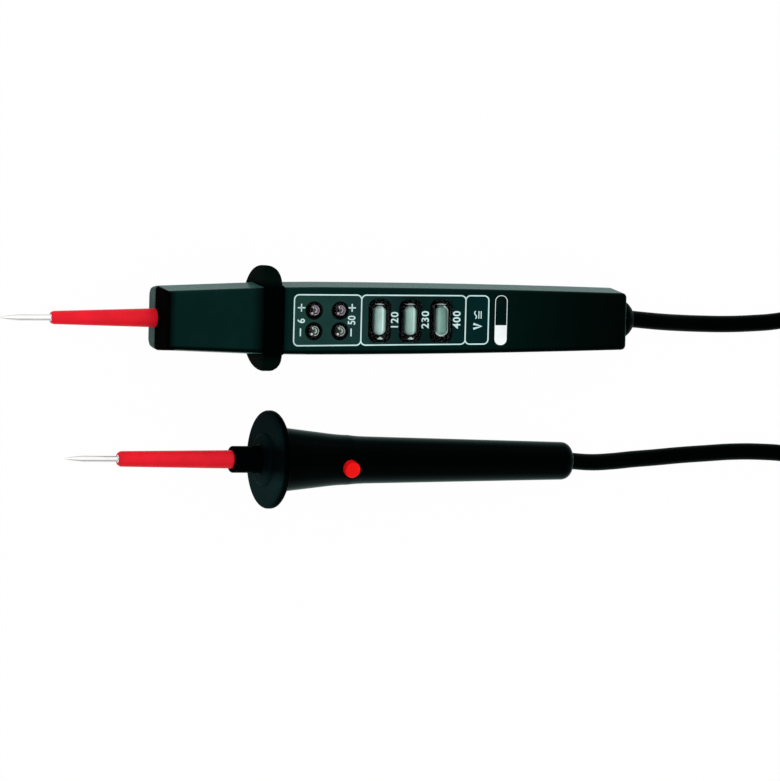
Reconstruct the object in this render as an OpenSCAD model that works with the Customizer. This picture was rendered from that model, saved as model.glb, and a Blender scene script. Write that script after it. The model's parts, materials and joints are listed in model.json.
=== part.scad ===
// Two-pole voltage tester: a display unit and a second handle, joined by one cord.
// Each unit is drawn along its own X axis, with the tip towards -X, and is then laid down
// so that it rests on its guard and on its rear end. All sizes are in millimetres.

/* [Display unit housing] */
// Length of the housing from its nose to its rear wall
housing_len = 173.7; // [165:0.1:190]
// Width across the nose at the parting line
nose_w = 23; // [20:0.1:25]
// Width across the widest place at the parting line
mid_w = 26.2; // [25:0.1:30]
// Width across the rear wall at the parting line
rear_w = 22.3; // [20.5:0.1:26]
// Height of the upper shell above the parting line
upper_h = 14; // [13.5:0.1:17]
// Depth of the lower shell below the parting line
lower_h = 8; // [7.5:0.1:11]
// Wall thickness of both shells
wall = 1.8; // [1.4:0.1:2.2]
// How much each side leans in over the height of the upper shell
side_draft = 1.1; // [0.5:0.1:2]
// Radius of the edge round the top face
top_edge_r = 1.2; // [0.4:0.1:1.6]
// Radius of the upright corners at the nose
nose_corner_r = 1.5; // [0.8:0.1:3]
// Radius of the upright corners at the rear
rear_corner_r = 2.6; // [1.5:0.1:4]
// Width of the rounded lower side edges
belly_w = 3; // [1:0.1:4]
// Height of the rounded lower side edges
belly_h = 5; // [3:0.1:6]
// Height of the lip that lines up the two shells
lip_h = 1.4; // [0.8:0.1:2]

/* [Hand guard] */
// Place of the guard's flat front face behind the nose
guard_u = 36.3; // [34:0.1:38]
// Half of the guard's width
guard_half_w = 18.9; // [17:0.1:22]
// How far the guard stands out further on the unit's left side
guard_side = 0.8; // [0:0.1:1.5]
// Height of the guard's widest place above the parting line
guard_wide_h = 12.4; // [10:0.1:13]
// Height of the guard's crown above the parting line
guard_top_h = 17.3; // [17:0.1:20]
// Depth of the guard's lowest point below the parting line
guard_drop = 11.6; // [11.3:0.1:15]
// Length of the guard along the housing
guard_len = 7; // [6:0.1:8]
// Thickness of the guard's rim before it starts to round off
guard_rim = 2.6; // [1:0.1:3.5]
// Thickness of the collar between the guard and the housing
collar_t = 0.5; // [0.4:0.1:1.4]
// How far the collar reaches behind the guard
collar_out = 1.5; // [1:0.1:3]

/* [Indicator panel] */
// Diameter of the four light-emitting diodes
led_d = 5; // [4.6:0.1:5.2]
// Diameter of the holes that they stand in
led_hole_d = 6.4; // [6:0.1:6.8]
// Place of the first pair of diodes behind the nose
led_u = 55.2; // [54:0.1:57]
// Distance between the pairs of diodes along the housing
led_pitch_u = 9.8; // [8:0.1:11]
// Distance between the two diodes of a pair
led_pitch_y = 7.4; // [7:0.1:8.5]
// How far diodes and lamp windows stand above the face
window_rise = 1; // [0.5:0.1:1.5]
// Place of the first lamp window behind the nose
lamp_u = 80; // [79:0.1:81]
// Distance between lamp windows
lamp_pitch = 11.6; // [10.5:0.1:12]
// Length of a lamp window along the housing
slot_u = 8.7; // [8.4:0.1:9.4]
// Length of a lamp window across the housing
slot_y = 15.8; // [15.6:0.1:17]
// Corner radius of a lamp window
slot_r = 3.2; // [2:0.1:4]
// Diameter of a glow lamp's glass
lamp_d = 5.2; // [4.6:0.1:5.4]
// Length of a glow lamp's glass
lamp_len = 12; // [10:0.1:12.5]
// Length of a glow lamp over its sealed ends
lamp_over_ends = 13.8; // [13:0.1:14]
// Wall of the clear window caps
lens_wall = 0.7; // [0.5:0.1:0.8]

/* [Probes] */
// Diameter of both probe needles
needle_d = 2.1; // [2:0.1:2.4]
// Diameter of the needles inside their sleeves
shank_d = 2.8; // [2.7:0.1:3]
// Length of the ground taper at a needle's point
needle_taper = 7; // [4:0.1:9]
// How far the display unit's needle stands out of the nose
main_needle_out = 58; // [52:0.1:66]
// How far the display unit's red sleeve stands out of the nose
main_sleeve_out = 39.1; // [34:0.1:42]
// Diameter of the display unit's sleeve at the nose
main_sleeve_d = 6.8; // [6:0.1:7]
// Diameter of the display unit's sleeve at its free end
main_sleeve_end_d = 4.8; // [4:0.1:5]

/* [Second handle] */
// Distance between the two units
unit_gap = 50.2; // [48:0.1:60]
// How far the second handle's guard lies behind the display unit's nose
handle_shift = 40.3; // [36:0.1:44]
// Angle by which the second handle lies turned on the table, its tip towards the display unit
handle_yaw = 0.5; // [0:0.1:3]
// Diameter of the round guard
disc_d = 35.8; // [32:0.1:40]
// Thickness of the round guard
disc_t = 3.9; // [3.2:0.1:5]
// Radius of the round guard's edges
disc_edge_r = 1.5; // [1:0.1:1.5]
// Diameter of the hub in front of the round guard
hub_d = 19; // [15:0.1:22]
// Diameter of the boss that holds the sleeve
boss_d = 9.6; // [8.6:0.1:11]
// How far the boss stands in front of the round guard
boss_len = 12.7; // [10:0.1:15]
// How far the handle's needle stands in front of the round guard
handle_needle_out = 76.9; // [70:0.1:80]
// How far the handle's red sleeve stands in front of the round guard
handle_sleeve_out = 56.5; // [50:0.1:60]
// Diameter of the handle's sleeve at the boss
handle_sleeve_d = 6.6; // [6:0.1:7]
// Diameter of the handle's sleeve at its free end
handle_sleeve_end_d = 5.6; // [4.4:0.1:6]
// Length of the handle behind the front of the round guard
handle_len = 118.4; // [112:0.1:130]
// Diameter of the handle next to the guard
handle_front_d = 23.7; // [21:0.1:25]
// Diameter of the handle where its taper flattens
handle_waist_d = 17.2; // [16.6:0.1:19]
// Place where the handle's taper flattens
handle_waist_u = 32; // [31:0.1:36]
// Diameter of the handle at its rear end
handle_rear_d = 13.4; // [12.8:0.1:15]
// Radius of the edge at the handle's rear end
handle_end_r = 3; // [1:0.1:3.4]
// Wall thickness of the handle
handle_wall = 1.7; // [1.4:0.1:2]

/* [Push button] */
// Place of the button behind the front of the round guard
button_u = 30; // [29:0.1:31]
// Diameter of the button
button_d = 5.8; // [5:0.1:6.4]
// How far the button stands out of the handle
button_out = 2.8; // [2:0.1:3.5]
// How far the button travels
button_travel = 1.2; // [0.8:0.1:1.3]
// Angle by which the button lies rolled to the side
button_roll = 15; // [0:1:20]

/* [Cord] */
// Diameter of the cord
cord_d = 6; // [5:0.1:7]
// How far the cord grommet stands out of the rear wall
grommet_out = 6.1; // [5:0.1:9]
// Diameter of the cord grommet
grommet_d = 13.4; // [12:0.1:14.4]

/* [Hidden] */
// Clearance between pieces that fit into each other
fit = 0.05;
// Clearance between loose pieces
slack = 0.1;
// Small step that cuts run past a face
past = 0.5;
round_fn = 64;
small_fn = 32;

// Colours as seen
housing_colour = [0.04, 0.12, 0.11];
guard_colour = [0.02, 0.04, 0.04];
red_colour = [0.85, 0.08, 0.12];
button_colour = [1, 0.1, 0.1];
steel_colour = [0.7, 0.72, 0.75];
brass_colour = [0.8, 0.65, 0.3];
clear_colour = [0.8, 0.9, 0.88, 0.35];
board_colour = [0.55, 0.42, 0.2];
ceramic_colour = [0.75, 0.7, 0.6];
cord_colour = [0.05, 0.05, 0.05];

// Heights and half widths of the housing
widest_u = guard_u + 1.2 * guard_len;
face_h = upper_h;
ceiling_h = upper_h - wall;
floor_h = -(lower_h - wall);
inner_wall = wall / 2;

// Points round the housing's outline: rear corner, side and nose corner of each half
rear_steps = 5;
side_steps = 9;
nose_steps = 3;

// Half width of the housing at the parting line, at distance u behind the nose
function half_w(u) = u < widest_u
    ? (nose_w + (mid_w - nose_w) * u / widest_u) / 2
    : (mid_w - (mid_w - rear_w) * pow((u - widest_u) / (housing_len - widest_u), 2)) / 2;

// One side of the housing's outline, drawn in by side_in at the sides and end_in at the ends
function outline_half(side_in, end_in) =
    let (rear_r = max(rear_corner_r - side_in, 0.3))
    let (nose_r = max(nose_corner_r - side_in, 0.3))
    let (rear_u = housing_len - end_in - rear_r)
    let (nose_u = end_in + nose_r)
    let (rear_y = half_w(housing_len - end_in - rear_r) - side_in - rear_r)
    let (nose_y = half_w(end_in + nose_r) - side_in - nose_r)
    concat(
        [for (i = [0 : rear_steps - 1]) let (a = 90 * i / rear_steps)
            [rear_u + rear_r * cos(a), rear_y + rear_r * sin(a)]],
        [for (i = [0 : side_steps]) let (u = rear_u + (nose_u - rear_u) * i / side_steps)
            [u, half_w(u) - side_in]],
        [for (i = [1 : nose_steps]) let (a = 90 + 90 * i / nose_steps)
            [nose_u + nose_r * cos(a), nose_y + nose_r * sin(a)]]);

function mirrored(half) = concat(half, [for (i = [len(half) - 1 : -1 : 0]) [half[i][0], -half[i][1]]]);

// The whole outline as a flat ring at height h
function outline_ring(side_in, end_in, h) =
    [for (p = mirrored(outline_half(side_in, end_in))) [p[0], p[1], h]];

function draft_at(h) = side_draft * h / upper_h;
edge_steps = 4;

// Ring of the upper shell at height h, drawn in by more than its draft
function upper_ring(h, inset) = outline_ring(draft_at(h) + inset, draft_at(h) / 3 + inset, h);

// How far the lower shell's sides and ends lean in at depth d, and its rounded belly
side_lean = 0.08;
end_lean = 0.04;
// A fine groove runs round the parting line, in the lower shell's edge
parting_groove = 0.3;
belly_steps = [0, 0.05, 0.18, 0.38, 0.64, 1];
belly_depths = concat([for (t = belly_steps) lower_h - t * belly_h], [parting_groove]);
function belly_in(d) =
    let (t = max(0, 1 - (lower_h - d) / belly_h))
    side_lean * d + belly_w * (1 - sqrt(max(0, 1 - t * t)));

// Ring of the lower shell at depth d, drawn in by more than its lean and its belly
function lower_ring(d, inset) = outline_ring(belly_in(d) + inset, end_lean * d + inset, -d);

// Skins a list of rings of equal length into one solid
module skin(rings) {
    n = len(rings[0]);
    m = len(rings);
    polyhedron(
        points = [for (r = rings) each r],
        faces = concat(
            [[for (i = [0 : n - 1]) i]],
            [for (j = [0 : m - 2], i = [0 : n - 1]) let (k = (i + 1) % n)
                [j * n + i, (j + 1) * n + i, (j + 1) * n + k]],
            [for (j = [0 : m - 2], i = [0 : n - 1]) let (k = (i + 1) % n)
                [j * n + i, (j + 1) * n + k, j * n + k]],
            [[for (i = [n - 1 : -1 : 0]) (m - 1) * n + i]]),
        convexity = 4);
}

// A round bar along the unit's axis, from u0 to u1
module bar(u0, u1, r, fn = round_fn) {
    translate([u0, 0, 0]) rotate([0, 90, 0]) cylinder(r = r, h = u1 - u0, $fn = fn);
}

// A turned solid along the unit's axis, from a profile of [distance, radius] pairs
module turned(profile, fn = round_fn) {
    rotate([0, 90, 0]) rotate_extrude($fn = fn) polygon([for (p = profile) [p[1], p[0]]]);
}

// An upright round post from height h0 to h1
module post(u, y, h0, h1, r) {
    translate([u, y, h0]) cylinder(r = r, h = h1 - h0, $fn = small_fn);
}

// A box given by its two corners
module block(low, high) {
    translate(low) cube(high - low);
}

// A rectangle with round corners, along the housing and across it
module round_plate(u, size_u, size_y, r, h0, h1) {
    translate([u, 0, h0]) linear_extrude(h1 - h0) {
        square([size_u, size_y - 2 * r], center = true);
        square([size_u - 2 * r, size_y], center = true);
        for (sx = [-1, 1], sy = [-1, 1])
            translate([sx * (size_u / 2 - r), sy * (size_y / 2 - r)]) circle(r, $fn = round_fn);
    }
}

// Where the two units rest
// The display unit rests on its guard's lowest point and on the lower rear edge.
main_front = [guard_u + guard_rim / 2, guard_drop];
main_rear = [housing_len, lower_h];
main_tilt = atan((main_front[1] - main_rear[1]) / (main_rear[0] - main_front[0]));
main_z = main_rear[0] * sin(main_tilt) + main_rear[1] * cos(main_tilt);
// The handle rests on the round guard's rim and on its rounded rear edge.
rest_drop = (disc_d / 2 - disc_edge_r) - (handle_rear_d / 2 - handle_end_r);
rest_run = (handle_len - handle_end_r) - (disc_t - disc_edge_r);
rest_step = handle_end_r - disc_edge_r;
handle_tilt = acos(rest_step / norm([rest_drop, rest_run])) - atan2(rest_run, rest_drop);
handle_z = (handle_len - handle_end_r) * sin(handle_tilt)
    + (handle_rear_d / 2 - handle_end_r) * cos(handle_tilt) + handle_end_r;

// Both units lie about the middle of their common outline
reach_front = max(main_needle_out * cos(main_tilt),
    handle_needle_out * cos(handle_tilt) - handle_shift);
reach_rear = (housing_len + grommet_out) * cos(main_tilt);
main_x = (reach_front - reach_rear) / 2;
main_y = (unit_gap + disc_d / 2 - guard_half_w - guard_side) / 2;

module place_main() {
    translate([main_x, main_y, main_z]) rotate([0, main_tilt, 0]) children();
}

module place_handle() {
    translate([main_x + handle_shift, main_y - unit_gap, handle_z])
        rotate([0, handle_tilt, -handle_yaw]) children();
}

// Inner layout of the display unit, from the nose to the rear wall
rib_t = 1.2;
sleeve_collar_r = main_sleeve_d / 2 + 1.3;
sleeve_collar_len = 2.2;
// Inner faces of the end walls lean in by this much at the parting line
wall_lean = 0.35;
contact_start = 10;
contact_len = 8;
contact_u = [contact_start, contact_start + contact_len];
contact_half_y = 5.2;
contact_low = -3.5;
contact_top = 4;
contact_rib_u = [contact_u[0] + 1, contact_u[1] - 1 - rib_t];
strap_w = 1.6;
strap_y = [contact_half_y - strap_w, contact_half_y];
strap_t = 0.6;
strap_overlap = 5;
clamp_len = 8;
clamp_to_flange = 3.25;
grommet_neck_r = 4.6;
grommet_flange_r = 6;
grommet_flange_t = 2;
grommet_straight = 2.2;
grommet_lip = 0.35;
flange_u = housing_len - wall - wall_lean;
clamp_end = flange_u - grommet_flange_t - clamp_to_flange;
clamp_u = [clamp_end - clamp_len, clamp_end];
clamp_mid = (clamp_u[0] + clamp_u[1]) / 2;
clamp_half_y = 8.4;
clamp_screw_y = 6.3;
clamp_seat = 1;
clamp_top = 4.6;
clamp_rib_t = 1.6;
clamp_screw_r = 1.1;
clamp_head_r = 1.9;
clamp_head_h = 1.4;
clamp_post_r = 2.1;
clamp_screw_bottom = -4;
cord_r = cord_d / 2;
jacket_inside = 7;
jacket_end_u = clamp_u[0] - jacket_inside;
bare_wire = 6;
wire_end_u = jacket_end_u - bare_wire;
wire_r = 0.75;
board_t = 1.6;
board_h = contact_top + strap_t;
board_top = board_h + board_t;
board_start = 40;
board_past_wire = 3;
board_u = [board_start, wire_end_u + board_past_wire];
board_half_y = 8.2;
board_post_u = [board_u[0] + 7, lamp_u - 8, board_u[1] - 6];
board_post_y = 6;
board_post_r = 2;
board_pin_r = 0.8;
hold_down_u = [board_u[0] + 3, board_u[1] - rib_t - slack];
screw_front_u = 28;
screw_behind_window = 5.4;
screw_u = [screw_front_u, lamp_u + 2 * lamp_pitch + slot_u / 2 + screw_behind_window];
screw_r = 1.3;
screw_head_r = 2.6;
screw_head_h = 1.6;
screw_top = 8;
screw_seat_h = floor_h + screw_head_h - wall;
boss_r = 3;
lower_boss_r = boss_r + 0.6;
floor_rib_h = 1.8;
floor_rib_half_y = 8;
floor_rib_start = 60;

lens_plate_t = 1;
lens_plate_h = ceiling_h - lens_plate_t;
lens_gap = 0.15;
lens_top = face_h + window_rise;
lens_margin = 1.4;
lens_u = [lamp_u - slot_u / 2 - lens_margin, lamp_u + 2 * lamp_pitch + slot_u / 2 + lens_margin];
lens_half_y = (slot_y + lens_margin) / 2;
lamp_gap = 0.5;
lamp_h = lens_top - lens_wall - lamp_gap - lamp_d / 2;
lamp_offset = 0.7;
lamp_lead_y = 4.6;
lamp_lead_r = 0.35;
lamp_shoulder = 0.8;
lamp_pip_r = 0.9;
lamp_pip_tip_r = 0.5;
holder_floor_t = 1;
holder_rib_t = 1;
holder_rib_y = lamp_len / 2 - 1.6;
led_top = face_h + window_rise;
led_flange_r = led_d / 2 + 0.4;
led_flange_t = 1;
resistor_mid_u = (screw_u[1] + boss_r + board_u[1]) / 2;
resistor_y = [-5, 0, 5];
resistor_r = 1.25;
resistor_len = 6.4;
resistor_lift = 0.4;
resistor_lead_r = 0.35;
resistor_lead_u = 4.4;

module lamp_slots(grow, h0, h1) {
    for (i = [0 : 2])
        round_plate(lamp_u + i * lamp_pitch, slot_u + 2 * grow, slot_y + 2 * grow, slot_r + grow, h0, h1);
}

module led_holes() {
    for (i = [0 : 3])
        translate([led_place(i)[0], led_place(i)[1], lens_plate_h])
            cylinder(d = led_hole_d, h = upper_h, $fn = round_fn);
}

function led_place(i) =
    [led_u + led_pitch_u * floor(i / 2), led_pitch_y * (i % 2 == 0 ? 0.5 : -0.5)];

// The top half of the housing, with its windows, ribs and screw bosses
module upper_shell() {
    color(housing_colour) place_main() {
        difference() {
            skin(concat(
                [upper_ring(0, 0)],
                [for (i = [0 : edge_steps]) let (a = 90 * i / edge_steps)
                    upper_ring(upper_h - top_edge_r * (1 - sin(a)), top_edge_r * (1 - cos(a)))]));
            skin([upper_ring(-past, wall), upper_ring(ceiling_h, wall)]);
            skin([upper_ring(-past, inner_wall), upper_ring(lip_h + slack, inner_wall)]);
            lamp_slots(0, lens_plate_h, face_h + past);
            led_holes();
            bar(-past, wall + past, main_sleeve_d / 2 + fit);
            bar(housing_len - 2 * wall, housing_len + past, grommet_neck_r);
        }
        for (u = screw_u) difference() {
            post(u, 0, fit, ceiling_h, boss_r);
            post(u, 0, -past, screw_top + slack, screw_r + fit);
        }
        for (u = contact_rib_u)
            block([u, -contact_half_y, contact_top], [u + rib_t, strap_y[0] - slack, ceiling_h]);
        for (u = hold_down_u)
            block([u, -board_half_y, board_top + slack], [u + rib_t, board_half_y, ceiling_h]);
    }
}

// The bottom half of the housing, with its lip, board posts, cradles and screw bosses
module lower_shell() {
    lip_in = inner_wall + slack;
    lip_root = 1;
    cavity_edge = 0.8;
    cavity_depths = [lower_h - wall, lower_h - wall - cavity_edge, lower_h - belly_h, 0];
    color(housing_colour) place_main() {
        difference() {
            union() {
                skin(concat([for (d = belly_depths) lower_ring(d, 0)],
                    [lower_ring(0, parting_groove)]));
                skin([lower_ring(lip_root, lip_in), upper_ring(lip_h, lip_in)]);
            }
            skin(concat(
                [for (d = cavity_depths) lower_ring(d, wall)],
                [upper_ring(lip_h + past, wall)]));
            bar(-past, wall + past, main_sleeve_d / 2 + fit);
            bar(housing_len - 2 * wall, housing_len + past, grommet_neck_r);
            for (u = screw_u) post(u, 0, -lower_h - past, floor_h, screw_head_r + slack);
        }
        for (u = screw_u) difference() {
            post(u, 0, floor_h - past, 0, lower_boss_r);
            post(u, 0, -lower_h - past, past, screw_r + slack);
            post(u, 0, -lower_h - past, screw_seat_h, screw_head_r + slack);
        }
        for (u = board_post_u, s = [-1, 1]) {
            post(u, s * board_post_y, floor_h - past, board_h, board_post_r);
            post(u, s * board_post_y, board_h - past, board_top, board_pin_r);
        }
        for (u = contact_rib_u)
            block([u, -contact_half_y, floor_h - past], [u + rib_t, contact_half_y, contact_low]);
        for (u = [floor_rib_start : lamp_pitch : screw_u[1] - lower_boss_r - rib_t])
            if (abs(u - board_post_u[1]) > board_post_r + rib_t)
                block([u, -floor_rib_half_y, floor_h - past],
                    [u + rib_t, floor_rib_half_y, floor_h + floor_rib_h]);
        for (u = [clamp_u[0], clamp_u[1] - clamp_rib_t]) difference() {
            block([u, -clamp_screw_y, floor_h - past], [u + clamp_rib_t, clamp_screw_y, 0]);
            bar(u - past, u + clamp_rib_t + past, cord_r + fit);
        }
        for (s = [-1, 1]) difference() {
            post(clamp_mid, s * clamp_screw_y, floor_h - past, clamp_seat, clamp_post_r);
            post(clamp_mid, s * clamp_screw_y, clamp_screw_bottom - slack, clamp_seat + past,
                clamp_screw_r + fit);
        }
    }
}

// Outline of the guard: a full oval below its widest place, a low crown above it.
// It closes in on the housing by the share given, from 0 at the front to nearly 1 at the rear.
guard_steps = 40;
guard_fullness = 2.3;
function full(x) = sign(x) * pow(abs(x), 2 / guard_fullness);
function closed_in(from, to, share) = from + (to - from) * share;
function guard_ring(u, share, edge) =
    let (w = closed_in(guard_half_w, mid_w / 2, share) - edge)
    let (rise = closed_in(guard_top_h, upper_h, share) - guard_wide_h - edge)
    let (drop = closed_in(guard_drop, lower_h, share) + guard_wide_h - edge)
    [for (i = [0 : guard_steps - 1]) let (a = 360 * i / guard_steps)
        [u, w * full(cos(a)) + guard_side * (1 - share),
            guard_wide_h + (sin(a) > 0 ? rise * sin(a) : drop * full(sin(a)))]];

// Cross-section of the housing grown by a gap, for the guard's opening and its collar
guard_fit = 0.12;
function sleeve_ring(u, gap) =
    let (w = half_w(u) + gap)
    let (half = concat(
        [for (d = belly_depths) [w - belly_in(d), -d - gap * max(0, 1 - (lower_h - d) / belly_h)]],
        [for (i = [0 : edge_steps]) let (a = 90 * i / edge_steps)
            let (h = upper_h - top_edge_r * (1 - sin(a)))
            [w - draft_at(h) - top_edge_r * (1 - cos(a)), h + gap]]))
    concat([for (p = half) [u, p[0], p[1]]],
        [for (i = [len(half) - 1 : -1 : 0]) [u, -half[i][0], half[i][1]]]);

// The oval guard that keeps the fingers back, on a thin collar round the housing
module hand_guard() {
    edge = 0.5;
    swell = 6;
    swell_angle = 84;
    collar_edge = 0.3;
    collar_end = guard_u + guard_len + collar_out;
    color(guard_colour) place_main() difference() {
        union() {
            skin(concat(
                [guard_ring(guard_u, 0, edge), guard_ring(guard_u + edge, 0, 0)],
                [for (i = [0 : swell]) let (a = swell_angle * i / swell)
                    guard_ring(guard_u + guard_rim + (guard_len - guard_rim) * sin(a),
                        1 - cos(a), 0)]));
            skin([sleeve_ring(guard_u + edge, collar_t),
                sleeve_ring(collar_end - collar_edge, collar_t),
                sleeve_ring(collar_end, collar_t - collar_edge)]);
        }
        skin([for (u = [guard_u - past, widest_u, collar_end + past]) sleeve_ring(u, guard_fit)]);
    }
}

// A steel needle with a ground point, and a thicker shank from its sleeve's end inwards
point_r = 0.1;
point_steps = [[0.05, 0.22], [0.3, 0.52], [0.6, 0.76], [1, 1]];
shoulder_len = 0.2;
shank_r = shank_d / 2;
module needle(out, sleeve_out, inside) {
    r = needle_d / 2;
    color(steel_colour) turned(concat(
        [[-out, 0], [-out, point_r]],
        [for (p = point_steps) [-out + needle_taper * p[0], r * p[1]]],
        [[-sleeve_out - shoulder_len, r], [-sleeve_out, shank_r], [inside, shank_r], [inside, 0]]));
}

// Profile of a sleeve: domed free end round the needle's shank, slow taper, straight inner end
dome_len = 1.8;
dome_steps = 6;
function sleeve_profile(out, end_r, root_r, inside) =
    let (mouth_r = shank_r + 3 * fit)
    concat(
        [[-out, shank_r + fit]],
        [for (i = [0 : dome_steps]) let (a = 90 * i / dome_steps)
            [-out + dome_len * (1 - cos(a)), mouth_r + (end_r - mouth_r) * sin(a)]],
        [[0, root_r], [inside, root_r], [inside, shank_r + fit]]);

module main_needle() {
    place_main() needle(main_needle_out, main_sleeve_out, contact_u[1]);
}

module main_sleeve() {
    color(red_colour) place_main() {
        turned(sleeve_profile(main_sleeve_out, main_sleeve_end_d / 2, main_sleeve_d / 2,
            contact_u[0] - fit));
        difference() {
            bar(wall + wall_lean, wall + wall_lean + sleeve_collar_len, sleeve_collar_r);
            bar(0, contact_u[0], main_sleeve_d / 2 - slack);
        }
    }
}

// Brass block that grips the needle, with a strap to the board
module probe_contact() {
    color(brass_colour) place_main() {
        difference() {
            block([contact_u[0], -contact_half_y, contact_low],
                [contact_u[1], contact_half_y, contact_top]);
            bar(contact_u[0] - past, contact_u[1] + past, shank_r + fit);
        }
        block([contact_u[0], strap_y[0], contact_top],
            [board_u[0] + strap_overlap, strap_y[1], contact_top + strap_t]);
    }
}

// Printed circuit board on the posts of the lower shell
module circuit_board() {
    color(board_colour) place_main() difference() {
        block([board_u[0], -board_half_y, board_h], [board_u[1], board_half_y, board_top]);
        for (u = board_post_u, s = [-1, 1])
            post(u, s * board_post_y, board_h - past, board_top + past, board_pin_r + slack);
        post(screw_u[1], 0, board_h - past, board_top + past, boss_r + 2 * slack);
    }
}

// One light-emitting diode, standing on the board
module led(i) {
    r = led_d / 2;
    color(clear_colour) place_main() translate([led_place(i)[0], led_place(i)[1], 0])
        rotate_extrude($fn = round_fn) polygon(concat(
            [[0, board_top], [led_flange_r, board_top], [led_flange_r, board_top + led_flange_t],
                [r, board_top + led_flange_t]],
            [for (k = [0 : 8]) let (a = 90 * k / 8) [r * cos(a), led_top - r + r * sin(a)]]));
}

// One glow lamp, lying across the housing on its two leads
module glow_lamp(i) {
    r = lamp_d / 2;
    pip = (lamp_over_ends - lamp_len) / 2;
    half = lamp_len / 2;
    color(clear_colour) place_main()
        translate([lamp_u + lamp_offset + i * lamp_pitch, 0, 0]) {
            translate([0, 0, lamp_h]) rotate([90, 0, 0]) rotate_extrude($fn = small_fn) polygon([
                [0, -half - pip], [lamp_pip_tip_r, -half - pip], [lamp_pip_r, -half],
                [r - lamp_shoulder, -half], [r, -half + lamp_shoulder],
                [r, half - lamp_shoulder], [r - lamp_shoulder, half],
                [lamp_pip_r, half], [lamp_pip_tip_r, half + pip], [0, half + pip]]);
            for (s = [-1, 1])
                post(0, s * lamp_lead_y, board_top, lamp_h - r / 2, lamp_lead_r);
        }
}

// Black frame on the board, with a well and two cradle ribs for each lamp
module lamp_holder() {
    floor_top = board_top + holder_floor_t;
    well = lens_gap + lens_wall;
    color(guard_colour) place_main() {
        difference() {
            block([lens_u[0], -lens_half_y, board_top], [lens_u[1], lens_half_y, lens_plate_h]);
            lamp_slots(-well, floor_top, lens_plate_h + past);
            for (i = [0 : 2], s = [-1, 1])
                post(lamp_u + lamp_offset + i * lamp_pitch, s * lamp_lead_y, board_top - past,
                    lens_plate_h, lamp_lead_r + slack);
        }
        for (i = [0 : 2], s = [-1, 1]) difference() {
            translate([lamp_u + i * lamp_pitch, s * holder_rib_y, 0])
                block([-slot_u / 2 + well / 2, -holder_rib_t / 2, floor_top - slack],
                    [slot_u / 2 - well / 2, holder_rib_t / 2, lamp_h - lamp_d / 4]);
            translate([lamp_u + lamp_offset + i * lamp_pitch, s * holder_rib_y, lamp_h])
                rotate([90, 0, 0])
                    cylinder(r = lamp_d / 2 + fit, h = 2 * holder_rib_t, center = true, $fn = small_fn);
            post(lamp_u + lamp_offset + i * lamp_pitch, s * lamp_lead_y, board_top,
                lamp_h, lamp_lead_r + slack);
        }
    }
}

// Clear strip under the face, with a raised cap in each lamp window
module lens_strip() {
    color(clear_colour) place_main() difference() {
        union() {
            block([lens_u[0], -lens_half_y, lens_plate_h], [lens_u[1], lens_half_y, ceiling_h]);
            lamp_slots(-lens_gap, ceiling_h - past, lens_top);
        }
        lamp_slots(-lens_gap - lens_wall, lens_plate_h - past, lens_top - lens_wall);
    }
}

// Dropping resistors on the board
module series_resistors() {
    color(ceramic_colour) place_main() for (y = resistor_y) {
        h = board_top + resistor_r + resistor_lift;
        u = resistor_mid_u;
        translate([0, y, h]) {
            bar(u - resistor_len / 2, u + resistor_len / 2, resistor_r, small_fn);
            bar(u - resistor_lead_u, u + resistor_lead_u, resistor_lead_r, small_fn);
        }
        for (s = [-1, 1])
            post(u + s * (resistor_lead_u - resistor_lead_r), y, board_top, h, resistor_lead_r);
    }
}

// A screw whose head is down, with the underside of its head at height h0
module screw(u, y, h0, h1, r, head_r, head_h) {
    post(u, y, h0 - head_h, h0, head_r);
    post(u, y, h0 - slack, h1, r);
}

module housing_screws() {
    color(steel_colour) place_main() for (u = screw_u)
        screw(u, 0, screw_seat_h, screw_top, screw_r, screw_head_r, screw_head_h);
}

// Bar that holds the cord's jacket down
module cord_clamp() {
    color(guard_colour) place_main() difference() {
        block([clamp_u[0], -clamp_half_y, clamp_seat], [clamp_u[1], clamp_half_y, clamp_top]);
        bar(clamp_u[0] - past, clamp_u[1] + past, cord_r + fit);
        for (s = [-1, 1])
            post(clamp_mid, s * clamp_screw_y, 0, clamp_top + past, clamp_screw_r + slack);
    }
}

module clamp_screws() {
    color(steel_colour) place_main() for (s = [-1, 1]) {
        post(clamp_mid, s * clamp_screw_y, clamp_screw_bottom, clamp_top + slack, clamp_screw_r);
        post(clamp_mid, s * clamp_screw_y, clamp_top, clamp_top + clamp_head_h, clamp_head_r);
    }
}

// Strain relief: a flange inside the rear wall, a neck through it and a dome outside
module cord_grommet() {
    dome_steps = 7;
    bore = cord_r + fit;
    tip_r = bore + grommet_lip;
    dome = grommet_d / 2 - tip_r;
    color(guard_colour) place_main() turned(concat(
        [[flange_u - grommet_flange_t, bore],
            [flange_u - grommet_flange_t, grommet_flange_r],
            [flange_u, grommet_flange_r],
            [flange_u, grommet_neck_r - fit],
            [housing_len + fit, grommet_neck_r - fit],
            [housing_len + fit, grommet_d / 2]],
        [for (i = [0 : dome_steps]) let (t = i / dome_steps)
            [housing_len + grommet_straight + (grommet_out - grommet_straight) * t,
                tip_r + dome * (1 - t * t)]],
        [[housing_len + grommet_out, bore]]));
}

// End of the cord inside the display unit: jacket and the conductor up to the board
module main_lead_end() {
    color(cord_colour) place_main() {
        bar(jacket_end_u, housing_len + grommet_out, cord_r);
        bar(wire_end_u, jacket_end_u + slack, wire_r, small_fn);
        translate([wire_end_u, 0, 0]) sphere(wire_r, $fn = small_fn);
        post(wire_end_u, 0, 0, board_h, wire_r);
    }
}

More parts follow.
